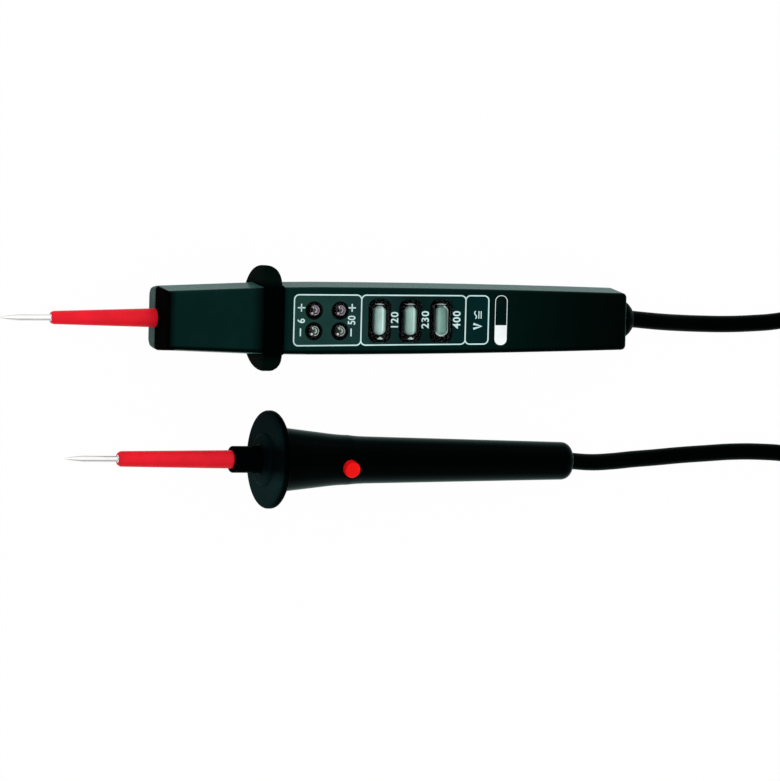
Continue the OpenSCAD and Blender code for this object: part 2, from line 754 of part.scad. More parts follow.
// Inner layout of the second handle, from the round guard to the rear wall
spigot_len = 10;
bore_front_r = handle_waist_d / 2 - handle_wall;
spigot_r = bore_front_r - fit;
spigot_end = disc_t + spigot_len;
bore_end_u = 46;
bore_slope_len = 6;
bore_slope_drop = 0.6;
rear_wall_t = 3;
rear_bore_r = handle_rear_d / 2 - handle_wall;
carrier_start = 4;
carrier_to_bore_end = 2;
carrier_u = [spigot_end + carrier_start, bore_end_u - carrier_to_bore_end];
carrier_grip = 5;
carrier_flat = 0.4;
switch_len = 12.8;
switch_w = 5.8;
switch_h = 2.6;
switch_top = carrier_flat + switch_h;
plunger_r = 0.9;
plunger_root = 0.4;
plunger_gap = 0.2;
waist_rise = 0.35;
handle_radius_at_button = handle_waist_d / 2 + waist_rise;
button_top = handle_radius_at_button + button_out;
button_flange_r = button_d / 2 + 0.7;
button_inner_top = sqrt(pow(bore_front_r - slack, 2) - pow(button_flange_r, 2)) - slack;
button_bottom = switch_top + button_travel + plunger_gap;
load_len = 20;
load_start = carrier_u[1] + 10;
load_u = [load_start, load_start + load_len];
load_r = 2.4;
load_lead_r = 0.45;
handle_jacket_in = 22;
handle_jacket_u = handle_len - handle_jacket_in;
ferrule_len = 6;
ferrule_end = handle_len - rear_wall_t - slack;
ferrule_u = [ferrule_end - ferrule_len, ferrule_end];
ferrule_r = rear_bore_r - 2 * slack;

// Black cap: boss, hub and round guard in front, a spigot that plugs into the handle
module guard_cap() {
    arc_steps = 5;
    boss_edge = 0.6;
    hub_t = 1.6;
    hub_edge = 1.2;
    fillet_r = 1.4;
    sleeve_r = handle_sleeve_d / 2 + fit;
    bore = shank_r + fit;
    front_boss_r = boss_d / 2;
    hub_r = hub_d / 2;
    rim_r = disc_d / 2 - disc_edge_r;
    color(guard_colour) place_handle() turned(concat(
        [[-boss_len, sleeve_r], [-boss_len, front_boss_r - boss_edge]],
        [for (i = [1 : arc_steps]) let (a = 90 * i / arc_steps)
            [-boss_len + boss_edge * (1 - cos(a)), front_boss_r - boss_edge * (1 - sin(a))]],
        [for (i = [0 : arc_steps]) let (a = 90 * i / arc_steps)
            [-hub_t - fillet_r * (1 - sin(a)), front_boss_r + fillet_r * (1 - cos(a))]],
        [for (i = [0 : arc_steps]) let (a = 90 * i / arc_steps)
            [-hub_t + hub_t * (1 - cos(a)), hub_r - hub_edge * (1 - sin(a))]],
        [for (i = [0 : arc_steps]) let (a = 90 * i / arc_steps)
            [disc_edge_r * (1 - cos(a)), rim_r + disc_edge_r * sin(a)]],
        [for (i = [arc_steps : -1 : 0]) let (a = 90 * i / arc_steps)
            [disc_t - disc_edge_r * (1 - cos(a)), rim_r + disc_edge_r * sin(a)]],
        [[disc_t, spigot_r], [spigot_end, spigot_r], [spigot_end, bore],
            [-fit, bore], [-fit, sleeve_r]]));
}

// Outer radius of the handle: cone to the waist, a soft bend and a long slow taper
bend = 7;
bend_rise = waist_rise / pow(bend, 2);
function line_at(u, p, q) = p[1] + (q[1] - p[1]) * (u - p[0]) / (q[0] - p[0]);
function handle_r(u) =
    let (front = [disc_t, handle_front_d / 2])
    let (waist = [handle_waist_u, handle_waist_d / 2])
    let (rear = [handle_len, handle_rear_d / 2])
    let (a = line_at(u, front, waist))
    let (b = line_at(u, waist, rear))
    let (t = max(0, bend - abs(u - handle_waist_u)))
    max(a, b) + bend_rise * t * t;

// The round handle with the button hole and a stepped bore
module handle_tube() {
    end_steps = 5;
    front_edge = 0.6;
    bend_steps = [-7, -4, -2, 0, 2, 4, 7];
    taper_steps = 5;
    taper_u = handle_waist_u + bend;
    end_u = handle_len - handle_end_r;
    stations = concat([disc_t + front_edge],
        [for (s = bend_steps) handle_waist_u + s * bend / 7],
        [for (i = [1 : taper_steps]) taper_u + (end_u - taper_u) * i / taper_steps]);
    color(guard_colour) place_handle() difference() {
        turned(concat(
            [[disc_t, spigot_r + fit], [disc_t, handle_front_d / 2 - front_edge]],
            [for (u = stations) [u, handle_r(u)]],
            [for (i = [1 : end_steps]) let (a = 90 * i / end_steps)
                [end_u + handle_end_r * sin(a),
                    handle_r(handle_len) - handle_end_r * (1 - cos(a))]],
            [[handle_len, cord_r + fit],
                [handle_len - rear_wall_t, cord_r + fit],
                [handle_len - rear_wall_t, rear_bore_r],
                [bore_end_u + bore_slope_len, rear_bore_r + bore_slope_drop],
                [bore_end_u, bore_front_r],
                [disc_t, bore_front_r]]));
        button_frame() cylinder(r = button_d / 2 + slack, h = button_top, $fn = round_fn);
    }
}

module handle_needle() {
    place_handle() needle(handle_needle_out, handle_sleeve_out, carrier_u[0] + carrier_grip);
}

module handle_sleeve() {
    color(red_colour) place_handle() translate([-boss_len, 0, 0])
        turned(sleeve_profile(handle_sleeve_out - boss_len, handle_sleeve_end_d / 2,
            handle_sleeve_d / 2, boss_len - slack));
}

// Frame of the button: its Z axis points out of the handle
module button_frame() {
    translate([button_u, 0, 0]) rotate([button_roll, 0, 0]) children();
}

// Moulded insert with a flat for the switch
module switch_carrier() {
    color(ceramic_colour) place_handle() difference() {
        bar(carrier_u[0], carrier_u[1], bore_front_r - fit);
        bar(carrier_u[0] - past, carrier_u[0] + carrier_grip + slack, shank_r + fit);
        button_frame() block(
            [carrier_u[0] + carrier_grip + 3 * slack - button_u, -bore_front_r, carrier_flat],
            [handle_len, bore_front_r, bore_front_r]);
    }
}

// Sealed switch on the carrier
module micro_switch() {
    color(board_colour) place_handle() button_frame() difference() {
        block([-switch_len / 2, -switch_w / 2, carrier_flat], [switch_len / 2, switch_w / 2, switch_top]);
        translate([0, 0, switch_top - button_travel - plunger_root - plunger_gap])
            cylinder(r = plunger_r + fit, h = switch_h, $fn = small_fn);
    }
}

module switch_plunger() {
    color(steel_colour) place_handle() button_frame()
        translate([0, 0, switch_top - plunger_root])
            cylinder(r = plunger_r, h = button_bottom - switch_top + plunger_root, $fn = small_fn);
}

// Red push button with a flange that keeps it in the handle
module push_button() {
    r = button_d / 2;
    edge = 0.7;
    crown = 0.1;
    color(button_colour) place_handle() button_frame() rotate_extrude($fn = round_fn) polygon(concat(
        [[0, button_bottom], [button_flange_r, button_bottom], [button_flange_r, button_inner_top],
            [r, button_inner_top]],
        [for (i = [0 : 4]) let (a = 90 * i / 4)
            [r - edge + edge * cos(a), button_top - edge + edge * sin(a)]],
        [[0, button_top + crown]]));
}

// Wire-wound load resistor between the switch and the cord
module load_resistor() {
    color(ceramic_colour) place_handle() {
        bar(load_u[0], load_u[1], load_r, small_fn);
        bar(carrier_u[1], load_u[0] + slack, load_lead_r, small_fn);
        bar(load_u[1] - slack, handle_jacket_u - bare_wire, load_lead_r, small_fn);
    }
}

// Crimped ring that keeps the cord in the handle
module cord_ferrule() {
    color(steel_colour) place_handle() difference() {
        bar(ferrule_u[0], ferrule_u[1], ferrule_r);
        bar(ferrule_u[0] - past, ferrule_u[1] + past, cord_r + fit);
    }
}

module handle_lead_end() {
    color(cord_colour) place_handle() {
        bar(handle_jacket_u, handle_len, cord_r);
        bar(handle_jacket_u - bare_wire, handle_jacket_u + slack, wire_r, small_fn);
    }
}

// Cord routes on the surface, by hand, after the place where each lead leaves its unit
route_main = [[131, 23.1, 6], [139, 22.6, 4.2], [147, 22.3, 3.2], [156, 22.2, 3], [165, 22.5, 3],
    [175, 23.3, 3], [185, 25.2, 3], [195, 28.3, 3], [204, 31.4, 3]];
route_handle = [[106, -27.6, 5.3], [114, -27.3, 4.3], [122, -26.6, 3.4], [130, -26, 3],
    [140, -25.1, 3], [150, -24.4, 3], [160, -23.8, 3], [170, -23.8, 3],
    [180, -24.5, 3], [190, -26.6, 3.4], [198, -29.1, 5.2], [204, -31.2, 7]];
coil_centre = [225, 0];
coil_r = 33;
coil_half = 6;
cord_sides = 10;

function leaving(tilt, yaw) = [cos(tilt) * cos(yaw), -cos(tilt) * sin(yaw), -sin(tilt)];
main_way = leaving(main_tilt, 0);
handle_way = leaving(handle_tilt, handle_yaw);
exit_main = [main_x, main_y, main_z] + (housing_len + grommet_out) * main_way;
exit_handle = [main_x + handle_shift, main_y - unit_gap, handle_z] + handle_len * handle_way;

function unit(v) = v / norm(v);

// Rings across a route; the first one faces along the direction in which the lead leaves
function swept(route, first_dir) =
    [for (i = [0 : len(route) - 1])
        let (back = route[max(i - 1, 0)])
        let (ahead = route[min(i + 1, len(route) - 1)])
        let (t = i == 0 ? first_dir : unit(ahead - back))
        let (side = unit(cross([0, 0, 1], t)))
        let (up = cross(t, side))
        [for (k = [0 : cord_sides - 1]) let (a = 360 * k / cord_sides)
            route[i] + cord_r * (cos(a) * side + sin(a) * up)]];

module cord_lead_main() {
    color(cord_colour) skin(swept(concat([exit_main], route_main), main_way));
}

module cord_lead_handle() {
    color(cord_colour) skin(swept(concat([exit_handle], route_handle), handle_way));
}

// Outer shape of the wound spare length
module cord_coil() {
    color(cord_colour) translate([coil_centre[0], coil_centre[1], 0])
        rotate_extrude($fn = round_fn) translate([coil_r - coil_half, 0]) square(2 * coil_half);
}

upper_shell();
lower_shell();
hand_guard();
main_sleeve();
main_needle();
probe_contact();
circuit_board();
led(0);  // led_1
led(1);  // led_2
led(2);  // led_3
led(3);  // led_4
glow_lamp(0);  // glow_lamp_1
glow_lamp(1);  // glow_lamp_2
glow_lamp(2);  // glow_lamp_3
lamp_holder();
lens_strip();
series_resistors();
housing_screws();
cord_clamp();
clamp_screws();
cord_grommet();
main_lead_end();
guard_cap();
handle_tube();
handle_sleeve();
handle_needle();
switch_carrier();
micro_switch();
switch_plunger();
push_button();
load_resistor();
cord_ferrule();
handle_lead_end();
cord_lead_main();
cord_lead_handle();
cord_coil();
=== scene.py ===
# Two-pole voltage tester: finishes, printed panel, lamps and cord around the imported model.
import json
from math import copysign, cos, pi, radians, sin, sqrt

import bmesh
import bpy
from mathutils import Matrix, Vector


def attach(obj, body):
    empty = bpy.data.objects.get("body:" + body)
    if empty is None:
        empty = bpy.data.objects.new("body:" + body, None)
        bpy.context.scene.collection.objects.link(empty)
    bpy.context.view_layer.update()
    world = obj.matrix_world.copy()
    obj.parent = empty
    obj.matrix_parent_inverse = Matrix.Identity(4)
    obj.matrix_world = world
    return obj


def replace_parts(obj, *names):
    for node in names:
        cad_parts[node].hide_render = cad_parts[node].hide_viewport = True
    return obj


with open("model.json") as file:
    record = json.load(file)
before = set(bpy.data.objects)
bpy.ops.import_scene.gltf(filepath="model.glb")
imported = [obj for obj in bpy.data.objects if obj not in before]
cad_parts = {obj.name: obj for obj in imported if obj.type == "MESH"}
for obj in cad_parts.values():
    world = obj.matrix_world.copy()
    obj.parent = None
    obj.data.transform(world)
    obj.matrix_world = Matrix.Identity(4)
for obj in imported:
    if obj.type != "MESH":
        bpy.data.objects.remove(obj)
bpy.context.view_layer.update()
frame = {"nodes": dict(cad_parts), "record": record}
nodes = frame["nodes"]
mounts = {m["name"]: m for m in frame["record"]["mounts"]}

MM = 0.001
BODY = "tester"

# Needle tips along each unit's own axis, in mm behind its nose or its round guard
MAIN_TIP_U = -45.15
HANDLE_TIP_U = -63.3
# Height of the panel's face over the display unit's axis
FACE_H = 14.0


def unit_place(mount, tip_u):
    """Matrix from a unit's own millimetres to the shared frame, from its tip mount."""
    along = -Vector(mount["axis"]).normalized()
    across = Vector((0, 0, 1)).cross(along).normalized()
    up = along.cross(across)
    start = Vector(mount["pos_m"]) - along * tip_u * MM
    turn = Matrix((along, across, up)).transposed().to_4x4()
    return Matrix.Translation(start) @ turn @ Matrix.Scale(MM, 4)


main_place = unit_place(mounts["main_tip"], MAIN_TIP_U)
handle_place = unit_place(mounts["handle_tip"], HANDLE_TIP_U)


def box_of(points):
    """Lowest and highest corner of points."""
    return [Vector([pick(p[i] for p in points) for i in range(3)]) for pick in (min, max)]


def own_box(node, place):
    """Lowest and highest corner of a CAD node in its unit's own millimetres."""
    back = place.inverted()
    return box_of([back @ v.co for v in nodes[node].data.vertices])


def own_centre(node):
    """Centre of a CAD node in the display unit's own millimetres."""
    low, high = own_box(node, main_place)
    return (low + high) / 2


def linked(name, data):
    """New object in the scene."""
    made = bpy.data.objects.new(name, data)
    bpy.context.scene.collection.objects.link(made)
    return made


# Camera: long lens, tilted towards the tips and a little towards the display unit
PHOTO_H = 781
SCALE_PX_PER_MM = 2.790
VIEW_CENTRE = Vector((31.4, -2.42, 0)) * MM
TILT_TO_TIPS = radians(17.0)
TILT_TO_UNIT = radians(4.1)
ROLL = radians(0.21)
LENS_MM = 1200.0
SENSOR_MM = 36.0
# Shares of the camera's distance
CLIP_NEAR, CLIP_FAR = 0.2, 20


def add_camera():
    back = Vector((-sin(TILT_TO_TIPS), cos(TILT_TO_TIPS) * sin(TILT_TO_UNIT),
                   cos(TILT_TO_TIPS) * cos(TILT_TO_UNIT)))
    level = Vector((0, cos(TILT_TO_UNIT), -sin(TILT_TO_UNIT)))
    across = level.cross(back)
    right = across * cos(ROLL) + level * sin(ROLL)
    up = level * cos(ROLL) - across * sin(ROLL)
    data = bpy.data.cameras.new("camera")
    data.sensor_width = SENSOR_MM
    data.lens = LENS_MM
    view_height = PHOTO_H / SCALE_PX_PER_MM * MM
    distance = view_height * LENS_MM / SENSOR_MM
    data.clip_start = distance * CLIP_NEAR
    data.clip_end = distance * CLIP_FAR
    camera = linked("camera", data)
    camera.matrix_world = (Matrix.Translation(VIEW_CENTRE + back * distance)
                           @ Matrix((right, up, back)).transposed().to_4x4())
    bpy.context.scene.camera = camera


add_camera()


# Meshes and pieces
def add_object(name, data, material, slot):
    """Piece on the tester's body, with one material; the slot is not used."""
    piece = linked(name, data)
    data.materials.append(material)
    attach(piece, BODY)
    return piece


SHARP_ANGLE = radians(38)


def mesh_from(name, bm, place=None):
    """Mesh with smooth faces that stays sharp where faces meet at a clear angle."""
    bmesh.ops.remove_doubles(bm, verts=bm.verts, dist=1e-4 if place else 1e-7)
    bmesh.ops.recalc_face_normals(bm, faces=bm.faces)
    for face in bm.faces:
        face.smooth = True
    for edge in bm.edges:
        if len(edge.link_faces) == 2 and edge.calc_face_angle(0) > SHARP_ANGLE:
            edge.smooth = False
    if place:
        bm.transform(place)
    mesh = bpy.data.meshes.new(name)
    bm.to_mesh(mesh)
    bm.free()
    return mesh


def turns(count):
    """Angles of even steps round a full turn."""
    return [2 * pi * i / count for i in range(count)]


def add_solid(name, bm, material, slot, place=main_place):
    """Piece from a bmesh in a unit's own millimetres, by default the display unit's."""
    return add_object(name, mesh_from(name, bm, place), material, slot)


def skin(bm, rings, loop=False):
    """Skins rings of equal length, capped at both ends or joined into a closed loop."""
    made = [[bm.verts.new(p) for p in ring] for ring in rings]
    count = len(rings[0])
    pairs = list(zip(made, made[1:]))
    if loop:
        pairs.append((made[-1], made[0]))
    for a, b in pairs:
        for i in range(count):
            k = (i + 1) % count
            bm.faces.new((a[i], a[k], b[k], b[i]))
    if not loop:
        bm.faces.new(made[0][::-1])
        bm.faces.new(made[-1])


def turned(name, profile, centre, stand, material, slot, segments=48, loop=False, unit=main_place):
    """Solid of revolution from (x, r) points, or a ring if a loop, with its X axis turned by stand."""
    place = Matrix.Translation(centre) @ stand
    bm = bmesh.new()
    skin(bm, [[place @ Vector((x, r * cos(t), r * sin(t))) for t in turns(segments)]
              for x, r in profile], loop)
    return add_solid(name, bm, material, slot, unit)


EDGE_STEPS = 6


def rounded_edge(top, r):
    """Heights up a rounded top edge, and how far it is drawn in there."""
    return [(top - r * (1 - sin(a)), r * (1 - cos(a)))
            for a in (radians(90 * i / EDGE_STEPS) for i in range(EDGE_STEPS + 1))]


def flat_mesh(name, data, place):
    """Closed thin solid from a filled curve or text."""
    holder = linked(name, data)
    graph = bpy.context.evaluated_depsgraph_get()
    mesh = bpy.data.meshes.new_from_object(holder.evaluated_get(graph))
    bpy.data.objects.remove(holder)
    bm = bmesh.new()
    bm.from_mesh(mesh)
    return mesh_from(name, bm, place)


def flat_piece(name, loops, h, thick, material, slot):
    """Thin plate on the display unit: its first loop is the outline, the rest are openings."""
    data = bpy.data.curves.new(name, "CURVE")
    data.dimensions = "2D"
    data.fill_mode = "BOTH"
    data.extrude = thick / 2
    for loop in loops:
        spline = data.splines.new("POLY")
        spline.points.add(len(loop) - 1)
        for knot, point in zip(spline.points, loop):
            knot.co = (point[0], point[1], 0, 1)
        spline.use_cyclic_u = True
    lift = Matrix.Translation((0, 0, h + thick / 2))
    return add_object(name, flat_mesh(name, data, main_place @ lift), material, slot)


def rounded_box(u0, u1, y0, y1, r, steps=7):
    corners = [(u1 - r, y1 - r, 0), (u0 + r, y1 - r, 90),
               (u0 + r, y0 + r, 180), (u1 - r, y0 + r, 270)]
    return [(cu + r * cos(a), cy + r * sin(a))
            for cu, cy, start in corners
            for a in (radians(start + 90 * i / steps) for i in range(steps + 1))]


def circle(u, y, r, steps=40):
    return [(u + r * cos(t), y + r * sin(t)) for t in turns(steps)]


# Materials
def srgb(red, green, blue):
    """Linear colour of an 8-bit screen colour."""
    return tuple(c / 12.92 if c <= 0.04045 else ((c + 0.055) / 1.055) ** 2.4
                 for c in (red / 255, green / 255, blue / 255))


def screen_tones(*stops):
    """Ramp stops from (position, red, green, blue) rows of 8-bit screen colours."""
    return [(position, srgb(*colour)) for position, *colour in stops]


def set_inputs(node, values):
    """Sets a node's inputs, or links them where a value is another node's output."""
    for name, value in values.items():
        if isinstance(value, bpy.types.NodeSocket):
            node.id_data.links.new(value, node.inputs[name])
        else:
            node.inputs[name].default_value = value


def new_node(tree, kind, values=None):
    node = tree.nodes.new("ShaderNode" + kind)
    set_inputs(node, values or {})
    return node


def new_material(name):
    material = bpy.data.materials.new(name)
    material.use_nodes = True
    return material, material.node_tree, material.node_tree.nodes["Principled BSDF"]


def object_noise(tree, scale, detail=2.0, stretch=(1, 1, 1)):
    """Noise in object space, with its scale in repeats a metre."""
    place = new_node(tree, "TexCoord").outputs["Object"]
    mapping = new_node(tree, "Mapping", {"Vector": place, "Scale": stretch})
    noise = new_node(tree, "TexNoise", {"Vector": mapping.outputs["Vector"],
                                        "Scale": scale, "Detail": detail})
    return noise.outputs["Fac"]


def ramp_of(tree, value, stops):
    """Colour ramp over a value, from (position, colour) stops."""
    ramp = new_node(tree, "ValToRGB", {"Fac": value})
    elements = ramp.color_ramp.elements
    while len(elements) < len(stops):
        elements.new(0.5)
    for element, (position, colour) in zip(elements, stops):
        element.position = position
        element.color = (*colour, 1)
    return ramp.outputs["Color"]


# Values of the noise between which a colour changes
NOISE_LOW, NOISE_HIGH = 0.3, 0.7


def uneven(tree, low, high, scale):
    """Colour that wanders between two colours."""
    return ramp_of(tree, object_noise(tree, scale), [(NOISE_LOW, low), (NOISE_HIGH, high)])


def vary_colour(tree, shader, low, high, scale):
    set_inputs(shader, {"Base Color": uneven(tree, low, high, scale)})


def to_unit(tree, value, start, end):
    """0 to 1 as a value goes from start to end."""
    spread = new_node(tree, "MapRange", {"Value": value, "From Min": start, "From Max": end})
    return spread.outputs["Result"]


def place_along(tree, way, start, end):
    """0 to 1 between two object-space distances along a direction, in metres."""
    coord = new_node(tree, "TexCoord")
    dot = new_node(tree, "VectorMath", {0: coord.outputs["Object"], 1: way})
    dot.operation = "DOT_PRODUCT"
    return to_unit(tree, dot.outputs["Value"], start, end)


def own_place(tree, place, axis, start, end):
    """0 to 1 between two places along one of a unit's own axes, in mm."""
    way = place.col[axis].to_3d().normalized()
    base = place.translation.dot(way)
    return place_along(tree, way, base + start * MM, base + end * MM)


def mixed(tree, kind, share, first, second):
    """Two colours blended in the way that kind names."""
    node = new_node(tree, "Mix")
    node.data_type = "RGBA"
    node.blend_type = kind
    set_inputs(node, {0: share, 6: first, 7: second})
    return node.outputs[2]


def mottled(tree, colour, amount):
    """Lightens and darkens a colour a little by noise."""
    grey = uneven(tree, (1 - amount,) * 3, (1 + amount,) * 3, MOTTLE_SCALE)
    return mixed(tree, "MULTIPLY", 1.0, colour, grey)


def vary_roughness(tree, shader, low, high, scale):
    noise = object_noise(tree, scale)
    spread = new_node(tree, "MapRange", {"Value": noise, "To Min": low, "To Max": high})
    set_inputs(shader, {"Roughness": spread.outputs["Result"]})


def add_bump(tree, shader, scale, depth_mm, strength, edge_mm=0.0, stretch=(1, 1, 1)):
    """Fine relief, on normals that are rounded over by edge_mm where the mesh has facets."""
    bump = new_node(tree, "Bump", {"Height": object_noise(tree, scale, 3.0, stretch),
                                   "Distance": depth_mm * MM, "Strength": strength})
    if edge_mm:
        bevel = new_node(tree, "Bevel", {"Radius": edge_mm * MM})
        bevel.samples = 8
        set_inputs(bump, {"Normal": bevel.outputs["Normal"]})
    set_inputs(shader, {"Normal": bump.outputs["Normal"]})


def scaled_colour(colour, share):
    return tuple(c * share for c in colour)


# Repeats a metre of the unevenness in the tone and the gloss of plastic
TONE_SCALE, MOTTLE_SCALE, GLOSS_SCALE = 140, 160, 420
TONE_SPREAD, GLOSS_SPREAD, GRAIN_STRENGTH = 0.1, 0.04, 0.5
EDGE_MM = 0.8
HOUSING_SHEEN, SHEEN_ROUGHNESS = 0.35, 0.35
SHEEN_TINT = (0.25, 0.7, 0.62)
COAT_ROUGHNESS = 0.04
# The same for metal and clear pieces, whose relief is weaker
METAL_TONE_SCALE, METAL_GLOSS_SCALE = 300, 900
CLEAR_TONE_SCALE, CLEAR_GLOSS_SCALE = 200, 500
FINE_STRENGTH = 0.4


def plastic_surface(tree, shader, roughness, grain_mm, depth_mm, ior, tint, sheen, edge_mm=0.0):
    """Fine grain and uneven gloss, and a soft greenish sheen at grazing angles."""
    vary_roughness(tree, shader, roughness - GLOSS_SPREAD, roughness + GLOSS_SPREAD, GLOSS_SCALE)
    add_bump(tree, shader, 1 / (grain_mm * MM), depth_mm, GRAIN_STRENGTH, edge_mm)
    set_inputs(shader, {"IOR": ior, "Specular Tint": (*tint, 1)})
    if sheen:
        set_inputs(shader, {"Sheen Weight": sheen, "Sheen Roughness": SHEEN_ROUGHNESS,
                            "Sheen Tint": (*SHEEN_TINT, 1)})


def moulded(name, colour, roughness, grain_mm, depth_mm, ior=1.45, tint=(1, 1, 1), sheen=0.0):
    """Moulded plastic or rubber of one colour."""
    material, tree, shader = new_material(name)
    vary_colour(tree, shader, scaled_colour(colour, 1 - TONE_SPREAD), scaled_colour(colour, 1 + TONE_SPREAD),
                TONE_SCALE)
    plastic_surface(tree, shader, roughness, grain_mm, depth_mm, ior, tint, sheen)
    return material


def metal(name, colour, roughness, stretch, scale, depth_mm, edge=(1, 1, 1)):
    """Turned or drawn metal with fine tool marks."""
    material, tree, shader = new_material(name)
    set_inputs(shader, {"Metallic": 1.0, "Specular Tint": (*edge, 1)})
    vary_colour(tree, shader, scaled_colour(colour, 0.96), scaled_colour(colour, 1.02), METAL_TONE_SCALE)
    vary_roughness(tree, shader, roughness - 0.05, roughness + 0.06, METAL_GLOSS_SCALE)
    add_bump(tree, shader, scale, depth_mm, FINE_STRENGTH, stretch=stretch)
    return material


def clear(name, colour, roughness, ior, grain_mm=0.6, depth_mm=0.004, coat_ior=0.0):
    """Clear glass or resin with slight waviness."""
    material, tree, shader = new_material(name)
    set_inputs(shader, {"Transmission Weight": 1.0, "IOR": ior})
    vary_colour(tree, shader, scaled_colour(colour, 0.97), colour, CLEAR_TONE_SCALE)
    vary_roughness(tree, shader, roughness, roughness + 0.01, CLEAR_GLOSS_SCALE)
    add_bump(tree, shader, 1 / (grain_mm * MM), depth_mm, FINE_STRENGTH)
    if coat_ior:
        set_inputs(shader, {"Coat Weight": 1.0, "Coat IOR": coat_ior,
                            "Coat Roughness": COAT_ROUGHNESS})
    return material


def ramped_plastic(name, way, span, stops, roughness, grain_mm, depth_mm, ior, tint=(1, 1, 1), housing=False):
    """Moulded plastic whose tone changes along a direction, from stops in shares of the span.

    A housing part also has rounded edges, painted shade along its rim on the second handle's side, and a
    sheen.
    """
    material, tree, shader = new_material(name)
    tone = ramp_of(tree, place_along(tree, way, *span), stops)
    if housing:
        tone = painted_shade_rim(tree, tone)
    set_inputs(shader, {"Base Color": mottled(tree, tone, TONE_SPREAD)})
    sheen, edge_mm = (HOUSING_SHEEN, EDGE_MM) if housing else (0.0, 0.0)
    plastic_surface(tree, shader, roughness, grain_mm, depth_mm, ior, tint, sheen, edge_mm)
    return material


ALONG, ASIDE = (1, 0, 0), (0, 1, 0)

# The face's half width in mm along the shell, for the painted shade on the rounded edge on the second
# handle's side
FACE_HALF_W = [(0.0, 10.4), (44.7, 12.0), (80.0, 11.86), (110.0, 11.5), (140.0, 10.93),
               (173.7, 10.05)]
WIDTH_UNIT = 20.0
# Width and fade of the painted shade along that edge, and its colour
RIM_W, RIM_FADE = 1.75, 0.9
RIM_SHADE_TONE = (0.0001, 0.0003, 0.0003)


def plain_math(tree, kind, *values):
    """Result of a math node of a kind, from numbers or other nodes' outputs."""
    node = new_node(tree, "Math", dict(enumerate(values)))
    node.operation = kind
    return node.outputs[0]


def painted_shade_rim(tree, tone):
    """Paints shade on a tone: fades it to black along the face's edge towards the second handle."""
    start, end = FACE_HALF_W[0][0], FACE_HALF_W[-1][0]
    front, rear = (main_place @ Vector((u, 0, FACE_H)) for u in (start, end))
    half = ramp_of(tree, place_along(tree, ALONG, front.x, rear.x),
                   [((u - start) / (end - start), (w / WIDTH_UNIT,) * 3) for u, w in FACE_HALF_W])
    aside = place_along(tree, ASIDE, front.y, front.y - WIDTH_UNIT * MM)
    inside = plain_math(tree, "SUBTRACT", half, aside)
    share = to_unit(tree, inside, (RIM_W - RIM_FADE) / WIDTH_UNIT, RIM_W / WIDTH_UNIT)
    return mixed(tree, "MIX", share, (*RIM_SHADE_TONE, 1), tone)


# The second handle's disc: painted reflections across it, and painted shade along it that darkens its
# boss and rim, each over a span in mm
DISC_ACROSS, DISC_ALONG = (-18, 18), (-4, 4)
DISC_PAINTED_REFLECTION = screen_tones((0.0, 12, 30, 31), (0.28, 16, 36, 37), (0.42, 4, 9, 10),
                          (0.6, 3, 7, 8), (0.74, 7, 24, 25), (1.0, 5, 18, 19))
DISC_PAINTED_SHADE = [(0.225, (0.3,) * 3), (0.29, (1,) * 3), (0.55, (1,) * 3), (0.68, (0.12,) * 3)]
DISC_SPREAD, DISC_GRAIN_MM, DISC_GRAIN_DEPTH = 0.08, 0.6, 0.002
DISC_ROUGHNESS, DISC_IOR, DISC_TINT = (0.14, 0.2), 1.022, (0.1, 0.25, 0.25)


def disc_material():
    material, tree, shader = new_material("disc_plastic")
    tone = ramp_of(tree, own_place(tree, handle_place, 1, *DISC_ACROSS), DISC_PAINTED_REFLECTION)
    disc_shade = ramp_of(tree, own_place(tree, handle_place, 0, *DISC_ALONG), DISC_PAINTED_SHADE)
    tone = mottled(tree, mixed(tree, "MULTIPLY", 1.0, tone, disc_shade), DISC_SPREAD)
    vary_roughness(tree, shader, *DISC_ROUGHNESS, GLOSS_SCALE)
    add_bump(tree, shader, 1 / (DISC_GRAIN_MM * MM), DISC_GRAIN_DEPTH, FINE_STRENGTH)
    set_inputs(shader, {"Base Color": tone, "IOR": DISC_IOR, "Specular Tint": (*DISC_TINT, 1)})
    return material


# Tones along each piece, in shares of its span
# The guard's tones paint light: lighter teal on its ears, nearly black across its crown
GUARD_SPAN = (0.0042, 0.0442)
GUARD_PAINTED_LIGHT = screen_tones((0.0, 4, 14, 11), (0.12, 3, 15, 11), (0.2, 1, 3, 3),
                           (0.8, 1, 3, 3), (0.87, 3, 15, 11), (1.0, 2, 10, 6))
# The shells' tones paint shade: darker at the nose's edge, on each side of the hand guard and towards
# the rear
SHELL_SPAN = (-0.061, 0.113)
TEAL = (0.0020, 0.0142, 0.0128)
REAR_PAINTED_SHADE = [(0.62, (0.0010, 0.0105, 0.0092)), (0.78, (0.0002, 0.0045, 0.0034)),
              (0.9, (0.0002, 0.0016, 0.0011)), (1.0, (0.0001, 0.0006, 0.0004))]
UPPER_PAINTED_SHADE = [(0.0, (0.0001, 0.0006, 0.0005)), (0.009, (0.0002, 0.0012, 0.0010)),
               (0.024, (0.0018, 0.0135, 0.0122)), (0.185, TEAL), (0.207, (0.0006, 0.0045, 0.0040)),
               (0.252, (0.0003, 0.0030, 0.0027)), (0.265, TEAL)] + REAR_PAINTED_SHADE
LOWER_PAINTED_SHADE = [(0.0, (0.0016, 0.0130, 0.0118)), (0.25, TEAL)] + REAR_PAINTED_SHADE
